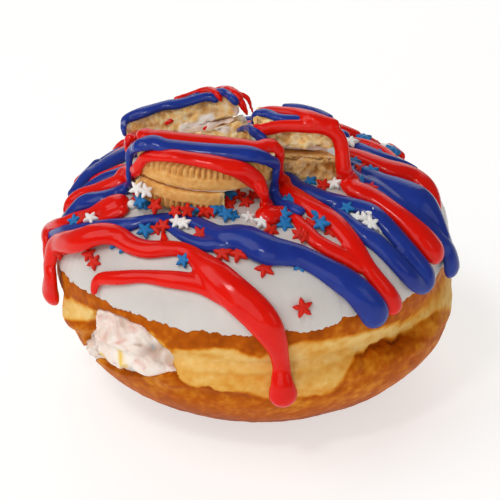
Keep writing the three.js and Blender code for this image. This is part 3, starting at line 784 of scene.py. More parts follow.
def smoothed(points, edges, rounds):
    """Moves each point towards its neighbours' middle and a little back, which keeps the size."""
    count = np.bincount(edges.ravel(), minlength=len(points))[:, None]
    for _ in range(rounds):
        for pull in (0.55, -0.5):
            total = np.stack([np.bincount(edges[:, 0], points[edges[:, 1], k], len(points))
                              + np.bincount(edges[:, 1], points[edges[:, 0], k], len(points))
                              for k in range(3)], -1)
            points = points + pull * (total / np.maximum(count, 1) - points)
    return points


def mesh_normals(points, faces):
    """The way out of a mesh at each point, from the faces that meet there."""
    normal = np.zeros(points.shape)
    for group in faces:
        cross = np.cross(points[group[:, 2]] - points[group[:, 0]],
                         points[group[:, -1]] - points[group[:, 1]])
        for k in range(group.shape[1]):
            np.add.at(normal, group[:, k], cross)
    return normal / np.maximum(np.linalg.norm(normal, axis=1, keepdims=True), 1e-12)


# %% [markdown]
# ## Baked wafers
# A wafer is pressed in a mould. Its rim has a plain band beside the cream, and beyond it flutes
# 1.5 mm apart that run out over a rounded shoulder. That profile is a short list: for each row its
# height above the cream side, how far it steps in, and how deep the flutes are there. The outline
# is walked round the circle and the broken edges. Only the rim follows the profile. The broken
# faces are pushed in and out by noise, with pits where crumbs fell out.

# %% The wafers
RIDGES, RIDGE_DEPTH = 90, 0.85
PROFILE = [(0, 0.5, 0), (0.12, 0.25, 0), (0.35, 0.06, 0), (0.8, 0, 0), (1.3, 0, 0), (1.8, 0, 0), (2.3, 0, 0),
           (2.7, 0, 0), (3.0, 0.05, 0.1), (3.2, 0.1, 0.6), (3.5, 0.1, 1), (3.9, 0.08, 1), (4.3, 0.08, 1),
           (4.7, 0.12, 1), (5.1, 0.25, 1), (5.5, 0.5, 1), (5.85, 0.9, 0.95), (6.1, 1.35, 0.8),
           (6.27, 1.9, 0.55), (6.36, 2.5, 0.25), (6.4, 3.1, 0)]


def outline(breaks, count=760):
    """A piece's plan, walked as rays from the point that is deepest inside it."""
    across = np.linspace(-20, 20, 81)
    trial = np.stack(np.meshgrid(across, across, [0.0]), -1).reshape(-1, 3)
    core = trial[np.argmin(plan_distance(trial, breaks))]
    angles = np.linspace(0, 2 * np.pi, count, endpoint=False)
    rays = np.stack([np.cos(angles), np.sin(angles), np.zeros(count)], -1)
    return skin(lambda p: plan_distance(p, breaks), core, rays, 60.0), core


def from_breaks(places, breaks):
    """How far inside the nearest broken face places lie."""
    room = []
    for degrees, reach in breaks:
        along = np.radians(degrees)
        room.append(reach - places[..., 0] * np.cos(along) - places[..., 1] * np.sin(along))
    return np.min(room, axis=0)


def drawn_together(ring, core, parts):
    """A ring again at each part of its size, to close a flat face."""
    level = np.array([0, 0, ring[0, 2]])
    return [core + (ring - level - core) * part + level for part in parts]


def wafer_mesh(breaks, low, ridges_up):
    """Points and faces of a wafer, and how deep in a groove each point is."""
    edge, core = outline(breaks)
    inward = (core - edge) / np.linalg.norm(core - edge, axis=1, keepdims=True)
    rim = ramp(from_breaks(edge, breaks), 0.1, 1.3)
    flute = 1 - np.abs(np.cos(np.arctan2(edge[:, 1], edge[:, 0]) * RIDGES / 2)) ** 0.8
    rows = []
    for height, step, depth in PROFILE:
        worn = 0.35 * ramp(np.abs(height - WAFER / 2), 2.3, 3.2)  # the break's own edges
        inset = rim * (step + depth * RIDGE_DEPTH * flute) + (1 - rim) * worn
        level = low + (height if ridges_up else WAFER - height)
        rows.append(edge + inward * inset[:, None] + (0, 0, level))
    first = drawn_together(rows[0], core, (0.25, 0.6, 0.9))
    last = drawn_together(rows[-1], core, (0.9, 0.78, 0.6, 0.4, 0.2))
    grid = np.array(first + rows + last)
    depths = np.pad([depth for _, _, depth in PROFILE], (len(first), len(last)))
    if not ridges_up:
        grid, depths = grid[::-1], depths[::-1]
    grooves = depths[:, None] * (rim * flute)[None]
    return (globe_points(grid, (core[0], core[1], grid[0, 0, 2]), (core[0], core[1], grid[-1, 0, 2])),
            globe_faces(*grid.shape[:2]), np.concatenate([[0], grooves.ravel(), [0]]))


# %% [markdown]
# The flat skin of a wafer is almost smooth. Where it broke, noise pushes the face in and out, and
# crumbs fell out of it in pits of two sizes. The points keep how broken, deep and creamy they are,
# and how much painted shade their pits get, so that the material can colour them.

# %% The wafers as pieces
# Strokes in the picture where the cream of the cookie behind sticks to its broken face.
CREAM_SMEARS = [[(184, 128), (198, 125.5), (214, 123.5), (226, 129)], [(203, 119), (211, 117.5)],
                [(237, 111), (244, 116), (250, 121)]]


def wafer_piece(name, node, cookie, breaks, low, ridges_up, seed, material):
    points, faces, grooves = wafer_mesh(breaks, low, ridges_up)
    normal = mesh_normals(points, faces)
    broken = 1 - ramp(from_breaks(points, breaks), 0.3, 1.5)
    crumb = 0.6 * rough(points, 3.0, seed, 4) + 0.28 * rough(points, 1.1, seed + 3) - 0.1
    fallen = 0.7 * ramp(noise(points, 2.1, seed + 5), 0.2, 0.7)
    crumb -= fallen + 0.4 * ramp(noise(points, 1.0, seed + 6), 0.2, 0.7)
    skin_bumps = 0.05 * rough(points, 1.4, seed + 7) + 0.06 * rough(points, 5, seed + 8)
    points = points + normal * (broken * crumb + (1 - broken) * skin_bumps)[:, None]
    placed = from_cookie(cookie, points)
    cream_left = smeared(to_pixels(placed), 5.5, *CREAM_SMEARS) + 0.25 * rough(placed, 2.5, seed + 9)
    # Painted shade: darker in the crumbs' pits, and over the whole break of a shaded lower wafer.
    pit_shade = 0.6 * np.clip(-crumb - 0.15, 0, 1) + cookie["lower_shade"] * (low == 0)
    marks = {"broken": broken, "pit_shade": pit_shade * broken, "grooves": grooves,
             "creamy": ramp(cream_left, 0.45, 0.75) * cookie["smeared"] * broken}
    piece = mesh_object(name, placed, faces, material, marks)
    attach(piece, "root")
    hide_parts(node)
    return piece


# %% [markdown]
# The baked skin is darker in the grooves, with painted shade. The break shows the pale inside,
# with painted shade in its pits. The cream of a cookie is a thin slab that squeezed out unevenly
# between its wafers.

# %% Baked biscuit and the three cookies
def biscuit_material():
    # Short biscuit dough, pressed and baked: dry and matt, golden on the skin and paler, open and
    # crumbly where it broke. Specks and pits are about 1.4 mm wide, as coarse flour and sugar are.
    material, tree, shader = new_material("baked golden biscuit")
    where = add(tree, "ShaderNodeTexCoord").outputs["Object"]
    speckle = add(tree, "ShaderNodeTexNoise", {"Vector": where, "Scale": 700.0, "Detail": 4.0})
    baked = add(tree, "ShaderNodeValToRGB", {"Fac": speckle.outputs["Fac"]})
    set_ramp(baked, ((0.3, "#d7964a"), (0.55, "#e5ae64"), (0.75, "#edc07b")))
    crumb = add(tree, "ShaderNodeValToRGB", {"Fac": speckle.outputs["Fac"]})
    set_ramp(crumb, ((0.3, "#f4bd6a"), (0.5, "#ffdd9c"), (0.72, "#fff2cf")))
    kept = {key: add(tree, "ShaderNodeAttribute", attribute_name=key).outputs["Fac"]
            for key in ("grooves", "pit_shade", "broken", "creamy")}
    # Painted shade: a darker brown in the grooves, and in the pits of the breaks.
    groove_shade = add(tree, "ShaderNodeMath", {0: kept["grooves"], 1: 0.6}, operation="MULTIPLY")
    fluted = add(tree, "ShaderNodeMix", {"Factor": groove_shade.outputs[0], "A": baked.outputs["Color"],
                                         "B": linear("#a9682a")}, data_type="RGBA")
    pitted = add(tree, "ShaderNodeMix", {"Factor": kept["pit_shade"], "A": crumb.outputs["Color"],
                                         "B": linear("#b06f28")}, data_type="RGBA")
    whole = add(tree, "ShaderNodeMix", {"Factor": kept["broken"], "A": fluted.outputs["Result"],
                                        "B": pitted.outputs["Result"]}, data_type="RGBA")
    creamed = add(tree, "ShaderNodeMix", {"Factor": kept["creamy"], "A": whole.outputs["Result"],
                                          "B": linear("#fff6ec")}, data_type="RGBA")
    tree.links.new(creamed.outputs["Result"], shader.inputs["Base Color"])
    bump = add(tree, "ShaderNodeBump", {"Height": speckle.outputs["Fac"], "Strength": 0.7,
                                        "Distance": 0.0004})
    tree.links.new(bump.outputs["Normal"], shader.inputs["Normal"])
    shader.inputs["Roughness"].default_value = 0.72
    shader.inputs["Specular IOR Level"].default_value = 0.2
    scatters(shader, 0.22, (3, 2, 1))
    return material


biscuit = biscuit_material()
sugar_cream = cream_material("sugar cream")
for seed, (side, cookie) in enumerate(COOKIES.items(), 60):
    upper_low = WAFER + cookie["cream"]
    wafer_piece(f"wafer_{side}_lower", f"cookie_{side}_lower", cookie, cookie["lower"], 0, False,
                seed, biscuit)
    wafer_piece(f"wafer_{side}_upper", f"cookie_{side}_upper", cookie, cookie["upper"], upper_low, True,
                seed + 10, biscuit)
    inset = [(degrees, reach - cookie["inset"]) for degrees, reach in cookie["upper"]]
    edge, core = outline(inset, 400)
    edge = core + (edge - core) * (1 - cookie["inset"] / COOKIE_RADIUS)
    levels = np.linspace(WAFER + 0.1 - cookie["spread"], upper_low - 0.1 + cookie["spread"], 5)
    rings = np.array([edge + (0, 0, z) for z in levels])
    layer_points = globe_points(rings, core + (0, 0, rings[0, 0, 2]), core + (0, 0, rings[-1, 0, 2]))
    layer_points, layer_faces = remeshed(layer_points, globe_faces(*rings.shape[:2]), 0.4, 2)
    bulges = cookie["squeezed"] * rough(layer_points, 3, seed + 20)
    layer_points += mesh_normals(layer_points, layer_faces) * bulges[:, None]
    layer = mesh_object(f"cookie_cream_{side}", from_cookie(cookie, layer_points), layer_faces, sugar_cream)
    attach(layer, "root")
    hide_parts(f"cookie_{side}_cream")
    print(f"cookie {side}: a layer of cream {cookie['cream']} mm thick between two wafers")

# %% [markdown]
# ## Laying things along lines of sight
# A place in the picture is a line of sight. It is followed until it meets the icing or a cookie,
# and that is where a strand or a sprinkle goes.

# %% Following lines of sight
NEAR = 85  # millimetres before the middle, where every line of sight is still in the air


def above_icing(p):
    return distance(dough, p) - ICING


def support(p):
    """Distance to whatever can carry drizzle: the icing or a cookie."""
    return np.minimum(above_icing(p), cookie_distance(p))


def follow_sight(pixels, gap, field=support):
    """Where the lines of sight come as near to the food as the gap, or nearest of all."""
    rays = sight(pixels)
    place = EYE + rays * (FAR - NEAR)
    best, least = place.copy(), np.full(len(place), 1e3)
    for _ in range(110):
        room = field(place) - gap
        nearer = room < least
        best[nearer], least[nearer] = place[nearer], room[nearer]
        place = place + rays * np.clip(room * 0.7, 0.02, 3)[..., None] * (least > 0.02)[..., None]
    for _ in range(3):
        best = best - outward(field, best) * (field(best) - gap)[..., None]
    return best


# %% [markdown]
# ## Drizzle
# Coloured icing was swung over the doughnut from a piping bag in thick strands. Each strand is a
# tube with a flat underside that follows points read off the picture. Where it crosses another it
# is lifted over it, and where it leaves a cookie it hangs free. The tubes of one colour are then
# melted into one skin by a voxel remesh and smoothed, as wet icing runs together.

# %% The strands
# Each strand: its colour and its places in the picture, each with the width seen there, in pixels.
# A fourth number is the depth (y in mm) of a place that hangs free. Later strands lie over earlier ones.
STRANDS = [
    ("red", [(70, 197, 4, 1), (76, 190, 4), (82, 185, 4), (90, 180.5, 4), (100, 175, 5), (112, 171, 6),
             (122, 167, 7)]),
    ("blue", [(77, 194, 4), (84, 189, 6), (92, 184.5, 8), (101, 180, 10), (110, 176.5, 11),
              (119, 173.5, 11), (128, 170, 11)]),
    ("red", [(67, 209, 6, -2), (70, 203, 9), (75, 197.5, 10), (82, 193, 9), (90, 190, 9), (100, 187.5, 11),
             (112, 184, 13), (122, 180, 13), (132, 175, 12), (138, 170, 10)]),
    ("blue", [(62, 220, 4, -4), (68, 214.5, 6), (75, 208, 9), (82, 202.5, 13), (90, 200, 15),
              (98, 198.5, 13), (106, 195.5, 11), (114, 192.5, 9), (121, 189, 9), (127, 186, 9)]),
    ("blue", [(46, 250, 4, -6), (47, 240, 6), (54, 233, 9), (66, 230, 12), (80, 229.5, 14), (92, 228, 14),
              (104, 226, 13), (115, 224.5, 13), (127, 224, 13), (140, 221, 10), (151, 219, 10),
              (160, 218.5, 11), (170, 217, 9), (180, 217.5, 9), (190, 219.5, 10), (200, 223, 12),
              (209, 227.5, 13.5), (218, 232.5, 17.5), (229, 235, 22), (240, 236, 24.5), (251, 239, 26.5),
              (261, 245, 28.5), (271, 249, 27), (281, 250.5, 24), (291, 252.5, 22), (301, 255, 20),
              (311, 260, 20), (322, 266, 21), (333, 273, 23), (344, 280.5, 25), (355, 289, 26),
              (364, 299, 27), (371, 307.5, 28), (374.5, 313, 28)]),
    ("blue", [(158, 221, 8), (165, 223.5, 8), (173, 229, 8), (182, 235, 9), (192, 239.5, 10),
              (202, 242.5, 12), (213, 243.5, 14), (226, 243, 14)]),
    ("red", [(46.5, 282, 8, -7), (46, 268, 7, -6), (46, 254, 6, -5), (47, 241, 7, -4), (52, 231, 8),
             (60, 225, 8.5), (68, 220, 9), (77, 216, 9), (87, 213.5, 9), (96, 210.5, 11), (103, 207, 14),
             (110, 205, 18), (117, 203.5, 18)]),
    ("red", [(97, 220.5, 4), (104, 217.5, 8), (113, 214, 10), (122, 210, 10)]),
    ("red", [(163.2, 230, 3), (163.8, 236, 6), (165, 243, 11)]),
    ("red", [(94, 291, 6), (94.8, 285, 8), (97, 280.5, 10), (103, 278, 12), (112, 277.5, 13),
             (123, 277, 13.5), (135, 276, 12.5), (148, 276, 12.5), (162, 277.5, 15), (176, 279, 16.5),
             (190, 281, 17), (203, 284, 18), (215, 289, 20), (228, 297, 20)]),
    ("red", [(54.7, 292, 17, -12), (52.5, 284, 14, -12), (52, 274, 12, -12), (53, 262, 12, -11),
             (53.5, 251, 13, -11), (57, 243.5, 16), (65, 241, 20), (75, 240, 22), (85, 237.5, 21),
             (95, 234, 20), (105, 232.5, 19.5), (114, 233.5, 19), (122, 237, 18.5), (129, 242, 18),
             (137, 245.5, 17), (147, 248, 16.5), (158, 248, 15.5), (169, 247.5, 14.5), (180, 248, 13.5),
             (189, 251, 14.5), (197, 257, 18), (207, 265.5, 24), (217, 275, 29), (228, 286, 31),
             (240, 297.5, 32), (252, 309, 32), (262, 320, 31), (270, 332, 27.5), (276, 344, 22),
             (279.5, 356, 17.5), (281, 367, 16.5), (281.5, 379, 19), (282.5, 389, 25), (283, 394, 27)]),
    ("blue", [(279, 174, 9), (288, 179, 11), (299, 185.5, 12), (312, 191.5, 12), (324, 196.5, 12.5),
              (336, 200, 12.5), (348, 203, 12.5), (358, 205.5, 13), (367, 208.5, 14), (375, 213.5, 15),
              (383, 221, 15), (392, 231, 15), (401, 241.5, 15), (410, 252, 15), (418, 262, 15),
              (424, 272, 16), (426, 280, 17), (422, 285, 17), (415.5, 282.5, 17), (408, 275, 16.5),
              (399, 265, 16), (389, 254, 16), (379, 244, 16), (370, 237, 16), (361, 230, 14), (352, 222, 10),
              (343, 214, 8), (335, 207, 6)]),
    ("red", [(342, 229, 5), (346, 236, 5), (350, 243, 6), (354, 250, 8)]),
    ("red", [(268, 214, 19), (277, 212.5, 15), (286, 211.5, 10), (294, 215.5, 9.5), (301, 223, 12),
             (308, 231, 13.5), (315, 239, 14), (324, 245, 14), (333, 250, 14), (342, 254.5, 14),
             (351, 259, 14), (360, 265, 14)]),
    ("red", [(349, 139, 5), (360, 140.5, 5.5), (370, 143.5, 6.5), (379, 147.5, 7), (387, 152, 7),
             (394, 158, 6)]),
    ("blue", [(349, 144, 6), (358, 145.5, 7), (366, 149, 7.5), (375, 153, 8), (385, 157, 8),
              (396, 160.5, 7), (406, 164, 6), (415, 168.5, 5)]),
    ("blue", [(352, 163, 6), (362, 168, 8), (373, 174, 11), (384, 180.5, 14), (394, 185, 17),
              (404, 190, 20), (414, 196, 23), (423, 203, 22), (430, 211.5, 18), (436, 221, 14),
              (440.5, 231, 12), (445, 242, 11), (449, 252, 10), (451, 260, 10)]),
    ("blue", [(350, 168, 6), (358, 175.5, 7), (366, 180, 8.5), (375, 184.5, 9.5), (384, 190, 10),
              (393, 197, 10.5), (402, 204, 10.5), (412, 211.5, 10.5), (422, 219.5, 10.5), (432, 229.5, 10.5),
              (439, 240, 10.5), (437, 250, 12, -15), (438, 259, 14, -15), (438.5, 265.5, 15, -15)]),
    ("red", [(349, 152.5, 10), (358, 155, 11), (367, 158.5, 12), (376, 162.3, 13), (386, 166.5, 14),
             (396, 169.5, 15), (406, 172.5, 15), (415, 176.5, 15), (423, 183, 15.5), (429, 190.5, 14),
             (433.5, 199, 11.5), (436, 207, 9.5), (436.5, 211, 8)]),
    ("blue", [(286, 105.5, 5), (293, 104.7, 7), (301, 105.5, 8), (310, 107.8, 8), (319, 111.8, 8),
              (328, 117, 7)]),
    ("blue", [(252.3, 122.5, 5, -2), (254, 117.5, 6, -1), (258, 113.5, 7), (264, 112, 8), (271, 114, 8),
              (278, 117, 7.5), (287, 118, 7), (297, 118, 6.5), (305, 119, 6)]),
    ("red", [(262, 109.5, 4), (271, 108.7, 6), (282, 110.5, 8), (293, 112, 8.5), (304, 114, 10),
             (314, 117.5, 12), (324, 121, 13), (333, 125, 13)]),
    ("red", [(243, 129.5, 6, 2.5), (250, 128.5, 8, -1), (258, 129.5, 10, -6), (268, 128.8, 12),
             (280, 126.5, 11.5), (292, 125.8, 11.5), (304, 126.5, 12), (316, 127, 12), (327, 128.8, 12.5),
             (335, 133.5, 13), (340.3, 141, 13.5, -8), (342, 151, 13.5, -9), (342.7, 161, 14, -10),
             (344, 171, 15, -11), (347.5, 180.5, 16), (354, 187.5, 16.5), (363, 191.5, 16), (373, 196, 15),
             (382, 201.5, 15), (391, 208, 15), (400, 215, 16), (410, 224, 17.5), (419, 233.5, 20),
             (427, 243, 21), (432, 249.5, 20.5)]),
    ("blue", [(237.5, 131, 4, 1), (241.5, 129, 5.5, -2), (248, 128.3, 7, -5), (255.5, 132, 8.5, -8),
              (261.5, 139, 8.5, -10), (266, 147, 8, -12), (268, 154, 7, -13)]),
    ("red", [(128, 152, 6, -8), (127.8, 142, 7, -8), (130, 138.5, 9, -10), (137, 136, 11), (148, 136, 12.5),
             (162, 137, 13), (178, 138.5, 13), (195, 140.2, 13), (212, 141.8, 13), (228, 143.4, 12.5),
             (243, 145, 12), (256, 147, 11.5), (265, 149.5, 11, -14), (271.5, 155.5, 9.5, -14.5),
             (275.7, 163.5, 9, -14), (278.7, 172.5, 10, -13.5), (282.5, 181.5, 12), (288, 189, 15),
             (296, 195.5, 16.5), (305, 201.5, 17), (315, 208, 17.5), (325, 214.5, 17.5), (334, 221, 17.5),
             (342, 229, 17), (350, 239, 17), (357, 250, 17), (364, 261.5, 15.5), (371.5, 272, 15),
             (379, 282, 15.5), (386, 292, 17), (391.5, 301, 18), (393, 305, 17.5)]),
    ("blue", [(123, 189.5, 8), (128.5, 187.5, 10), (129.7, 181, 5, -15), (129.4, 174, 4.5, -15),
              (129, 167, 5.5, -15), (128.9, 160, 7, -14), (130.2, 152.5, 9, -14), (133.5, 147.5, 11, -14),
              (140, 145, 12.5), (150, 144.2, 13), (162, 145, 13), (178, 147.2, 13), (195, 149, 13.5),
              (212, 150.3, 14), (228, 151.7, 14.5), (243, 152.5, 14.5), (256, 154, 13.5), (264, 157, 12),
              (270, 162, 9, -17), (273.6, 171, 7, -17), (275, 181, 7, -17), (274.3, 190, 9, -17),
              (274.5, 197, 10), (282, 202.5, 10), (291, 206.5, 9.5), (300, 210.5, 8)]),
    ("red", [(137.2, 170.5, 7), (139.2, 164.5, 9.5), (144, 158.7, 11), (152, 155, 11), (163, 154.3, 11.5),
             (175, 155.3, 11.5), (187, 157.3, 11.5), (200, 159.3, 12.5), (213, 161.3, 13.5),
             (226, 164.7, 15), (238, 169.3, 16.5), (249, 175, 18), (257, 182, 16, -23), (262, 190, 12, -24),
             (264.6, 198, 9, -24), (266, 205, 11), (268, 213, 16)]),
    ("red", [(234, 89, 4), (240, 90.7, 5), (246, 94.5, 5, 8), (249.3, 101, 4.2, 8), (251.2, 108, 3, 8),
             (253.5, 114.5, 1.8, 8)]),
    ("red", [(193, 130.5, 6), (199, 127.5, 8), (205, 126.5, 9), (210, 125.5, 7)]),
    ("red", [(165, 124.5, 3), (168, 122.5, 4), (172, 120.5, 4)]),
    ("red", [(203, 91, 3), (212, 89, 4), (222, 87.8, 5), (230, 89.3, 7), (236, 94, 8.5, 6),
             (241, 102, 8, 5), (245, 110, 5.5, 4.5), (247.7, 115.5, 2.2, 4.5)]),
    ("blue", [(166, 101, 3), (180, 97.7, 3), (195, 94.5, 3.5), (208, 91.3, 4), (218, 90.8, 6),
              (226, 92.8, 8), (232, 98, 8, 4.5), (236.5, 103, 7, 4)]),
    ("red", [(175, 99, 4), (190, 96.3, 4), (202, 93, 4.5), (211, 92, 5), (217.5, 94, 5.5),
             (220.5, 98.5, 5.5)]),
    ("blue", [(125.3, 136, 4, 1), (123.4, 129, 5.5, 1), (125.3, 121.7, 8), (131.5, 115.7, 9),
              (140, 112.7, 10), (151, 109.3, 9.5), (163, 105.5, 9), (175, 103.5, 9.5), (186, 101.5, 8.5),
              (197, 98, 8.5), (206, 96, 8.5), (212.5, 97.3, 8.5), (215.5, 99.5, 7.5)]),
]
# Behind the cookies, out of the picture: colour, widths in mm, and places in plan.
BEHIND = [
    ("blue", (3.2, 4.8, 6.0, 4.0, 5.2, 4.2, 5.4), [(-44, 5), (-40, 11), (-29, 17), (-13, 18.5), (2, 24),
             (14, 22.5), (22, 20)]),
    ("red", (4.6, 3.8, 6.2, 4.2, 3.6, 5.6, 4.0), [(-43, 14.5), (-36, 20), (-23, 26.5), (-8, 26), (6, 31),
             (18, 29), (26, 29.5)]),
    ("blue", (4.4, 5.4, 3.8, 5.8, 4.2, 3.4), [(-42, 22), (-36, 27.5), (-22, 35), (-6, 32.5), (9, 37.5),
             (22, 36), (31, 34), (37, 29.5)]),
    ("red", (3.4, 4.8, 3.6, 5.4, 3.8, 3.0), [(-35, 32), (-26, 38.5), (-12, 38.5), (2, 43), (16, 40),
             (28, 38), (37, 29)]),
]
# Drips at the back: colour, and places as (degrees round, height in mm, width in mm).
DRIPS = [
    ("red", [(66, 51, 3.8), (65, 45, 4.2), (64, 38, 4.2), (64, 31.5, 5.6)]),
    ("red", [(113, 50.5, 3.8), (114, 45, 3.8), (114.5, 39.5, 5.2)]),
    ("blue", [(152, 49, 4), (153, 43, 4.4), (153.5, 38.5, 5.4)]),
    ("red", [(40, 49.5, 3.6), (40.5, 44, 4), (41, 39.5, 5)]),
    ("red", [(137, 50, 3.6), (137.5, 42, 4), (137.5, 33, 4.2), (137.5, 30, 5.6)]),
]
SEAT, BODY = 0.12, 0.36  # of the width: the middle's height, and the reach above it
FREE = (0.8, 2.0)  # millimetres of air under a strand that begins to hang, and under one that hangs
print(len(STRANDS), "strands in the picture and", len(BEHIND) + len(DRIPS), "behind")

# %% [markdown]
# The places are joined by a smooth curve. What changes along a strand is eased, as icing has no
# sudden steps.

# %% Curves
def catmull(points, step=0.7):
    """A smooth curve through the points, sampled evenly. Columns after the third go along."""
    ends = np.vstack([2 * points[0] - points[1], points, 2 * points[-1] - points[-2]])
    fine = []
    for i in range(len(points) - 1):
        a, b, c, d = ends[i:i + 4]
        t = np.linspace(0, 1, 12, endpoint=False)[:, None]
        fine.append(0.5 * (2 * b + (c - a) * t + (2 * a - 5 * b + 4 * c - d) * t ** 2
                           + (3 * b - a - 3 * c + d) * t ** 3))
    fine = np.vstack(fine + [points[-1:]])
    run = np.concatenate([[0], np.cumsum(np.linalg.norm(np.diff(fine[:, :3], axis=0), axis=1))])
    even = np.linspace(0, run[-1], max(int(run[-1] / step), 6))
    return np.stack([np.interp(even, run, fine[:, k]) for k in range(points.shape[1])], -1)


def eased(values, reach):
    """Smooths numbers along a strand."""
    kernel = np.exp(-np.linspace(-2, 2, 2 * reach + 1) ** 2)
    kernel /= kernel.sum()
    padded = np.pad(values, ((reach, reach),) + ((0, 0),) * (values.ndim - 1), mode="edge")
    return np.apply_along_axis(lambda column: np.convolve(column, kernel, "valid"), 0, padded)


# %% [markdown]
# A strand starts as places in the picture. Each is followed to the food, or is put at its own depth
# where it hangs free. Its width comes from the pixels that it covers, with how much of a flat
# strand shows from this low down taken into account.

# %% From the picture to a strand
SWELL, FLATTEST = 1.14, 0.62  # melting thins the tubes a little, and a strand never shows less than this


def strand_places(path):
    """Where the places of a strand in the picture are, in millimetres."""
    pixels, seen = np.array([place[:2] for place in path], float), np.array([place[2] for place in path])
    seats = SEAT * seen / SCALE
    found = follow_sight(pixels, seats)
    # A strand is thickest above its seat, so the seat shows a little below its middle.
    lower = 0.15 * seen * np.clip(outward(support, found) @ UP, 0, 1)
    found = follow_sight(pixels + np.stack([0 * lower, lower], -1), seats)
    rays = sight(pixels)
    for i, place in enumerate(path):
        if len(place) > 3:
            found[i] = EYE + rays[i] * (place[3] - EYE[1]) / rays[i][1]
    return found


def strand_in_plan(path):
    """Lets places in plan sink onto the icing."""
    places = np.array([(x, y, 90.0) for x, y in path])
    for _ in range(80):
        places[:, 2] -= 0.5 * (above_icing(places) - 0.4)
    return places


def real_width(path, seen, normal):
    """Millimetres across, from the pixels seen across: a flat strand seen from low down looks narrow."""
    along = np.gradient(path, axis=0)
    across = np.cross(along, normal)
    across /= np.linalg.norm(across, axis=1, keepdims=True)
    view = np.cross(BACK, along)
    view /= np.linalg.norm(view, axis=1, keepdims=True)
    shown = np.hypot((across * view).sum(1), 0.5 * (normal * view).sum(1))
    here = SCALE * FAR / ((EYE - path) @ BACK)
    free = ramp(support(path) - SEAT * seen / SCALE, *FREE)
    return SWELL * seen / here / (free + (1 - free) * np.maximum(shown, FLATTEST))


# %% [markdown]
# Then the strand is settled. It is pushed out of what carries it, sinks onto what is just below, and
# is lifted where another strand lies already, less where that has its own colour and melts into it.

# %% Settling a strand
SINKS, STRAYS = 1.2, 2.6  # millimetres that a strand sinks at most, and moves at most to be seen in place
laid = []  # what lies already: middles, half widths, heights above the seat, colour


def lay(colour, places, seen=None, widths=None):
    """Settles a strand on what carries it and over what lies there already."""
    columns = seen
    if widths is not None:
        columns = np.interp(np.linspace(0, 1, len(places)), np.linspace(0, 1, len(widths)), widths)
    path = catmull(np.column_stack([places, columns]))
    path, width = path[:, :3], path[:, 3]
    shown_at = to_pixels(path)
    if widths is None:
        normal = eased(outward(support, path), 4)
        normal /= np.linalg.norm(normal, axis=1, keepdims=True)
        width = eased(real_width(path, width, normal), 4)
    seat = SEAT * width
    for _ in range(3):
        room = support(path) - seat
        pull = np.where(room < 0, -room, np.where(room < SINKS, -room * 0.8, 0))
        path = path + outward(support, path) * pull[:, None]
    path = eased(path, 4)
    room = support(path) - seat
    path = path + outward(support, path) * np.maximum(-room, 0)[:, None]
    free = ramp(room, *FREE)
    normal = eased(outward(support, path), 4)
    normal /= np.linalg.norm(normal, axis=1, keepdims=True)
    lift = np.zeros(len(path))
    for other, half, tall, shade in laid:
        gap = np.linalg.norm(path[:, None] - other[None], axis=2)
        reach = half[None] + 0.3 * width[:, None]
        share = 0.15 if shade == colour else 0.8
        lift = np.maximum(lift, (share * tall[None] * np.sqrt(np.clip(1 - (gap / reach) ** 2, 0, 1))).max(1))
    lift = eased(np.maximum(lift, eased(lift, 4)), 5) * (1 - free)
    laid.append((path.copy(), width / 2, lift + (SEAT + BODY) * width, colour))
    path = path + normal * lift[:, None]
    if widths is None:  # a lifted strand still shows where the picture shows it
        move = (follow_sight(shown_at, seat + lift) - path) * (1 - free)[:, None]
        move *= (np.linalg.norm(move, axis=1) < STRAYS)[:, None]
        path = path + eased(move, 5)
    for _ in range(3):  # wet icing spans small hollows
        hollow = ((eased(path, 7) - path) * normal).sum(1) * (1 - free)
        path = path + normal * np.maximum(hollow, 0)[:, None]
    return path, width, normal, free


# %% [markdown]
# A strand that lies on something is a low dome with a flat underside, and one that hangs free is
# round. So the tube goes from the one section to the other with how free the strand is. The drips
# at the back start from angles round the bun and heights, and are laid in the same way.

# %% Tubes
def tube(path, width, normal, free, sides=14):
    """A closed tube with a flat underside and round ends."""
    along = np.gradient(path, axis=0)
    along /= np.linalg.norm(along, axis=1, keepdims=True)
    side = np.cross(along, normal)
    side /= np.linalg.norm(side, axis=1, keepdims=True)
    lift = np.cross(side, along)
    caps = np.array([0.97, 0.8, 0.55, 0.3])
    start = [(path[0] - along[0] * c * width[0] / 2, np.sqrt(1 - c * c), 0) for c in caps]
    end = [(path[-1] + along[-1] * c * width[-1] / 2, np.sqrt(1 - c * c), -1) for c in caps[::-1]]
    rings = [(place, scale, i) for place, scale, i in start]
    rings += [(path[i], 1.0, i) for i in range(len(path))]
    rings += [(place, scale, i) for place, scale, i in end]
    turn = np.linspace(0, 2 * np.pi, sides, endpoint=False)
    grid = []
    for place, scale, i in rings:
        above = BODY * (1 - free[i]) + 0.5 * free[i]
        below = (SEAT + 0.5 / width[i]) * (1 - free[i]) + 0.5 * free[i]
        tall = np.where(np.sin(turn) > 0, above, below) * width[i] * scale
        grid.append(place + np.cos(turn)[:, None] * side[i] * width[i] / 2 * scale
                    + (np.sin(turn) * tall)[:, None] * lift[i])
    grid = np.array(grid)
    first = path[0] - along[0] * width[0] / 2
    last = path[-1] + along[-1] * width[-1] / 2
    return globe_points(grid, first, last), globe_faces(*grid.shape[:2])


def joined(shapes):
    """Several shapes as one."""
    points, faces, count = [], [], 0
    for places, groups in shapes:
        points.append(places)
        faces += [group + count for group in groups]
        count += len(places)
    return np.vstack(points), faces


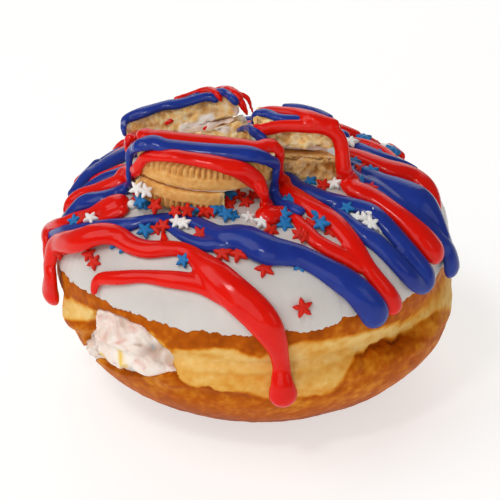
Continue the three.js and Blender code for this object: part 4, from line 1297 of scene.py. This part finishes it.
tubes = {"red": [], "blue": []}
for colour, path in STRANDS:
    seen = [place[2] for place in path]
    tubes[colour].append(tube(*lay(colour, strand_places(path), seen)))
for colour, widths, path in BEHIND:
    tubes[colour].append(tube(*lay(colour, strand_in_plan(path), widths=widths)))
for colour, path in DRIPS:
    degrees, levels, widths = np.array(path, float).T
    turn = np.radians(degrees)
    ways = np.stack([RIM * np.cos(turn), RIM * np.sin(turn), levels - HEART[2]], -1)
    ways /= np.linalg.norm(ways, axis=1, keepdims=True)
    places_down = skin(dough, HEART, ways)
    places_down += outward(dough, places_down) * (ICING + 0.3)
    tubes[colour].append(tube(*lay(colour, places_down, widths=widths)))
print("strands:", {colour: len(shapes) for colour, shapes in tubes.items()})


# %% [markdown]
# Coloured icing is glossier than the white because it is wetter. It scatters light a little, so
# the red and the blue stay strong in the shade.


# %% Material of the drizzle
def drizzle_material(name, dark, light):
    # Wet coloured icing: smooth and glossy, with streaks about 6 mm wide where it was stirred.
    material, tree, shader = new_material(name)
    where = add(tree, "ShaderNodeTexCoord").outputs["Object"]
    streak = add(tree, "ShaderNodeTexNoise", {"Vector": where, "Scale": 160.0, "Detail": 2.0})
    colours = add(tree, "ShaderNodeValToRGB", {"Fac": streak.outputs["Fac"]})
    set_ramp(colours, ((0.3, dark), (0.7, light)))
    tree.links.new(colours.outputs["Color"], shader.inputs["Base Color"])
    shader.inputs["Roughness"].default_value = 0.17
    shader.inputs["Specular IOR Level"].default_value = 0.24
    scatters(shader, 0.03, (2, 1, 1))
    return material


finishes = {"red": drizzle_material("coloured icing red", "#df0e02", "#e71807"),
            "blue": drizzle_material("coloured icing blue", "#1c2f86", "#223a94")}
for colour, shapes in tubes.items():
    points, faces = remeshed(*joined(shapes), 0.42, 4)
    drizzle = mesh_object(f"drizzle_{colour}", points, faces, finishes[colour])
    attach(drizzle, "root")
    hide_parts("icing")

# %% [markdown]
# ## Sprinkles
# The stars are pressed from sugar and colour, about 5 mm across and 1.5 mm thick with soft edges.
# They lie where they fell, some flat and some tipped on edge, and those whose line of sight ends at a
# cookie lean against it. A white sugar pearl lies among them.

# %% Where the stars lie
# Each star: its place in the picture and its tilt in radians. A fourth number brings it nearer to
# the camera, in millimetres, where a strand would hide it.
STARS = {
    "red": [(303, 308, 0), (265, 269, 0), (223, 254, 0.2, 0.8), (239, 254, 0.2, 0.8), (90, 255, 0.4),
            (95, 263, 0.3), (62, 252, 0.5), (87, 221, 0.6, 1.6), (109, 217, 0.6), (123, 213, 0.6),
            (135, 190, 0.5), (138, 200, 0.5), (156, 201, 0.5), (176, 207, 0.5), (188, 206, 0.6),
            (205, 213, 0.5), (212, 215, 0.4), (201, 236, 0.6), (157, 231, 0.5), (165, 230, 0.6),
            (228, 206, 0.5), (238, 197, 0.5), (246, 204, 0.6), (253, 197, 0.4), (271, 232, 0.4),
            (299, 236, 0.5), (311, 226, 0.4), (305, 241, 0.5), (330, 232, 0.4), (338, 206, 0.4),
            (323, 187, 0.5), (360, 172, 0.5), (383, 181, 0.5), (362, 198, 0.4), (370, 190, 0.5)],
    "blue": [(184, 261, 0.3, 0.8), (89, 202, 0.3, 2.2), (76, 222, 0.4, 1.8), (117, 243, 0.4),
             (127, 248, 0.5), (300, 266, 0.5), (147, 234, 0.4), (141, 196, 0.5), (145, 206, 0.5),
             (192, 214, 0.4), (218, 213, 0.4), (230, 199, 0.5), (233, 217, 0.5), (227, 219, 0.6),
             (285, 226, 0.5), (284, 219, 0.6), (283, 204, 0.5), (290, 206, 0.5), (320, 230, 0.4),
             (318, 221, 0.5), (310, 183, 0.4), (346, 212, 0.4), (374, 205, 0.5), (354, 163, 0.4),
             (370, 176, 0.5), (381, 158, 0.5), (404, 199, 0.4), (360, 184, 0.5)],
    "white": [(249, 218, 0.3), (262, 226, 0.4), (94, 222, 0.5, 1.6), (121, 186, 0.5), (139, 187, 0.5),
              (148, 192, 0.5), (178, 226, 0.5), (185, 227, 0.4), (307, 215, 0.5), (334, 188, 0.5),
              (356, 219, 0.4), (364, 223, 0.5), (371, 219, 0.5), (378, 228, 0.4), (368, 230, 0.5)],
}
# Behind the cookies, out of the picture: places in plan.
STARS_BEHIND = {
    "red": [(-18, 22.5), (13, 25.5), (31, 31), (-1, 38), (-32, 24), (26, 15), (-9, 30), (8, 16)],
    "blue": [(-30, 21), (4, 19.5), (18, 36.5), (-14, 30), (28, 26), (-4, 22), (35, 21), (-28, 33.5)],
    "white": [(-12, 22.5), (24, 14), (12, 33), (-20, 31), (34, 26)],
}
print("stars:", {colour: len(spots) + len(STARS_BEHIND[colour]) for colour, spots in STARS.items()})

# %% [markdown]
# A star is a ring with five tips and five notches, repeated at several heights and sizes to give it
# a flat underside, soft edges and a puffed top. Chance spins each one and tips it towards the
# viewer or away, always by the same seed.

# %% The shape of a star
TIP, NOTCH = 2.55, 1.15  # millimetres from a star's middle
STAR_RINGS = ((0.55, -0.75), (0.9, -0.7), (1.0, -0.3), (1.0, 0.2), (0.9, 0.55), (0.7, 0.72), (0.35, 0.8))
chance = np.random.default_rng(7)


def star_shape():
    """A puffed five-pointed star, flat side down, and its faces."""
    corners = np.linspace(0, 2 * np.pi, 50, endpoint=False)
    sharp = np.abs(((corners * 5 / (2 * np.pi)) % 1) - 0.5) * 2
    reach = NOTCH + (TIP - NOTCH) * sharp ** 1.25
    grid = np.array([np.stack([np.cos(corners) * reach * scale, np.sin(corners) * reach * scale,
                               np.full(50, height)], -1) for scale, height in STAR_RINGS])
    return globe_points(grid, (0, 0, -0.75), (0, 0, 0.82)), globe_faces(*grid.shape[:2])


lying = []  # where stars lie already, so that the next one rests on them


def set_star(place, tilt):
    """A star laid on the icing, spun and leaning by chance, on top of any star that lies there."""
    points, faces = star_shape()
    normal = outward(dough, place)
    side = np.cross(normal, (0, 1, 0))
    side /= np.linalg.norm(side)
    axes = np.stack([side, np.cross(normal, side), normal])
    to_front = axes @ BACK
    lean_way = np.arctan2(to_front[1], to_front[0]) + np.pi / 2 + chance.uniform(-0.9, 0.9)
    spin = chance.uniform(0, 2 * np.pi)
    turn = np.array(Matrix.Rotation(lean_way, 3, "Z") @ Matrix.Rotation(tilt, 3, "X")
                    @ Matrix.Rotation(spin, 3, "Z"))
    under = sum(np.linalg.norm(place - other) < 3.0 for other in lying)
    lying.append(place)
    resting = place + normal * (0.1 + 0.9 * np.sin(tilt) + 0.8 * min(under, 2))
    size = 1.0 if tilt < 0.25 else chance.uniform(0.74, 0.92)
    return size * points @ turn.T @ axes + resting, faces


# %% [markdown]
# The stars of one colour are one mesh, because they share a material and nobody moves them singly.
# The pearl is a ball of the same sugar as the white stars.

# %% Pressed sugar, the stars and the pearl
def sugar_material(name, dark, light):
    # Pressed sugar: matt and faintly grainy, with colour all through. The grains are 0.4 mm wide.
    material, tree, shader = new_material(name)
    where = add(tree, "ShaderNodeTexCoord").outputs["Object"]
    grain = add(tree, "ShaderNodeTexNoise", {"Vector": where, "Scale": 2500.0, "Detail": 2.0})
    colours = add(tree, "ShaderNodeValToRGB", {"Fac": grain.outputs["Fac"]})
    set_ramp(colours, ((0.3, dark), (0.7, light)))
    tree.links.new(colours.outputs["Color"], shader.inputs["Base Color"])
    bump = add(tree, "ShaderNodeBump", {"Height": grain.outputs["Fac"], "Strength": 0.3, "Distance": 0.0002})
    tree.links.new(bump.outputs["Normal"], shader.inputs["Normal"])
    shader.inputs["Roughness"].default_value = 0.5
    shader.inputs["Specular IOR Level"].default_value = 0.25
    return material


sugars = {"red": sugar_material("pressed sugar red", "#c91603", "#dc2306"),
          "blue": sugar_material("pressed sugar blue", "#1767a6", "#2680c2"),
          "white": sugar_material("pressed sugar white", "#e9e6e0", "#f5f2ee")}
for colour, spots in STARS.items():
    pixels, gaps = np.array([spot[:2] for spot in spots], float), np.zeros(len(spots))
    on_icing = follow_sight(pixels, gaps, above_icing)
    places = follow_sight(pixels, gaps)
    leaning = np.linalg.norm(places - on_icing, axis=1) > 1.5  # against a cookie
    print(colour, "stars that lean on a cookie:", int(leaning.sum()))
    places += BACK * np.array([[sum(spot[3:])] for spot in spots])
    places += (1.1 * BACK - 1.7 * UP) * leaning[:, None]
    shapes = [set_star(place, spot[2] + 0.3 * leans) for place, spot, leans in zip(places, spots, leaning)]
    shapes += [set_star(place, 0.3) for place in strand_in_plan(STARS_BEHIND[colour])]
    piece = mesh_object(f"stars_{colour}", *joined(shapes), sugars[colour])
    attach(piece, "root")
    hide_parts("icing")

pearl_place = follow_sight(np.array([[132.2, 206.6]]), np.zeros(1), above_icing)[0]
ball = directions_at(np.linspace(-np.pi, np.pi, 32, endpoint=False), np.radians(np.linspace(-80, 80, 15)))
pearl_points = pearl_place + (0, 0, 0.6) + 0.8 * BACK + 1.1 * globe_points(ball, (0, 0, -1), (0, 0, 1))
pearl = mesh_object("sugar_pearl", pearl_points, globe_faces(*ball.shape[:2]), sugars["white"])
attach(pearl, "root")
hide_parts("icing")

# %% [markdown]
# ## Floor and light
# The doughnut stands on a white table that glows a little, as in a light tent, so that the ground
# comes out as white as the photograph's.

# %% The table
floor_mesh = bpy.data.meshes.new("floor")
floor_mesh.from_pydata([(-3, -3, 0), (3, -3, 0), (3, 3, 0), (-3, 3, 0)], [], [(0, 1, 2, 3)])
floor_material, _, floor_shader = new_material("matt white table")
floor_shader.inputs["Base Color"].default_value = linear("#bcbcbb")
floor_shader.inputs["Roughness"].default_value = 0.8
floor_shader.inputs["Emission Color"].default_value = linear("#fffefc")
floor_shader.inputs["Emission Strength"].default_value = 0.62
floor_mesh.materials.append(floor_material)
floor = bpy.data.objects.new("floor", floor_mesh)
floor.location.z = -0.0002
bpy.context.scene.collection.objects.link(floor)

# %% [markdown]
# A large lamp at the upper left models the form, and one near the camera fills the shadows. A weak
# one stands at the right. A wide one behind draws the long highlights on the strands' tops, and a
# small one adds the bright points.

# %% World and lamps
world = bpy.data.worlds.new("white room")
world.use_nodes = True
world.node_tree.nodes["Background"].inputs["Color"].default_value = linear("#ffffff")
world.node_tree.nodes["Background"].inputs["Strength"].default_value = 0.16
bpy.context.scene.world = world


def lamp(name, place, size, power):
    """A square soft lamp that faces the doughnut. Place and size are in metres, power in watts."""
    data = bpy.data.lights.new(name, "AREA")
    data.size, data.energy = size, power
    holder = bpy.data.objects.new(name, data)
    holder.location = place
    holder.rotation_euler = (Vector((0, 0, 0.035)) - Vector(place)).to_track_quat("-Z", "Y").to_euler()
    bpy.context.scene.collection.objects.link(holder)


lamp("key", (-0.62, -0.2, 0.72), 0.7, 3.4)
lamp("fill", (-0.12, -0.95, 0.5), 0.8, 2.6)
lamp("side", (0.9, -0.45, 0.4), 0.4, 0.5)
lamp("sheen", (0.05, 0.9, 0.62), 1.0, 4.0)
lamp("sparkle", (-0.25, -0.55, 0.8), 0.14, 1.7)
bpy.context.scene.view_settings.view_transform = "Standard"
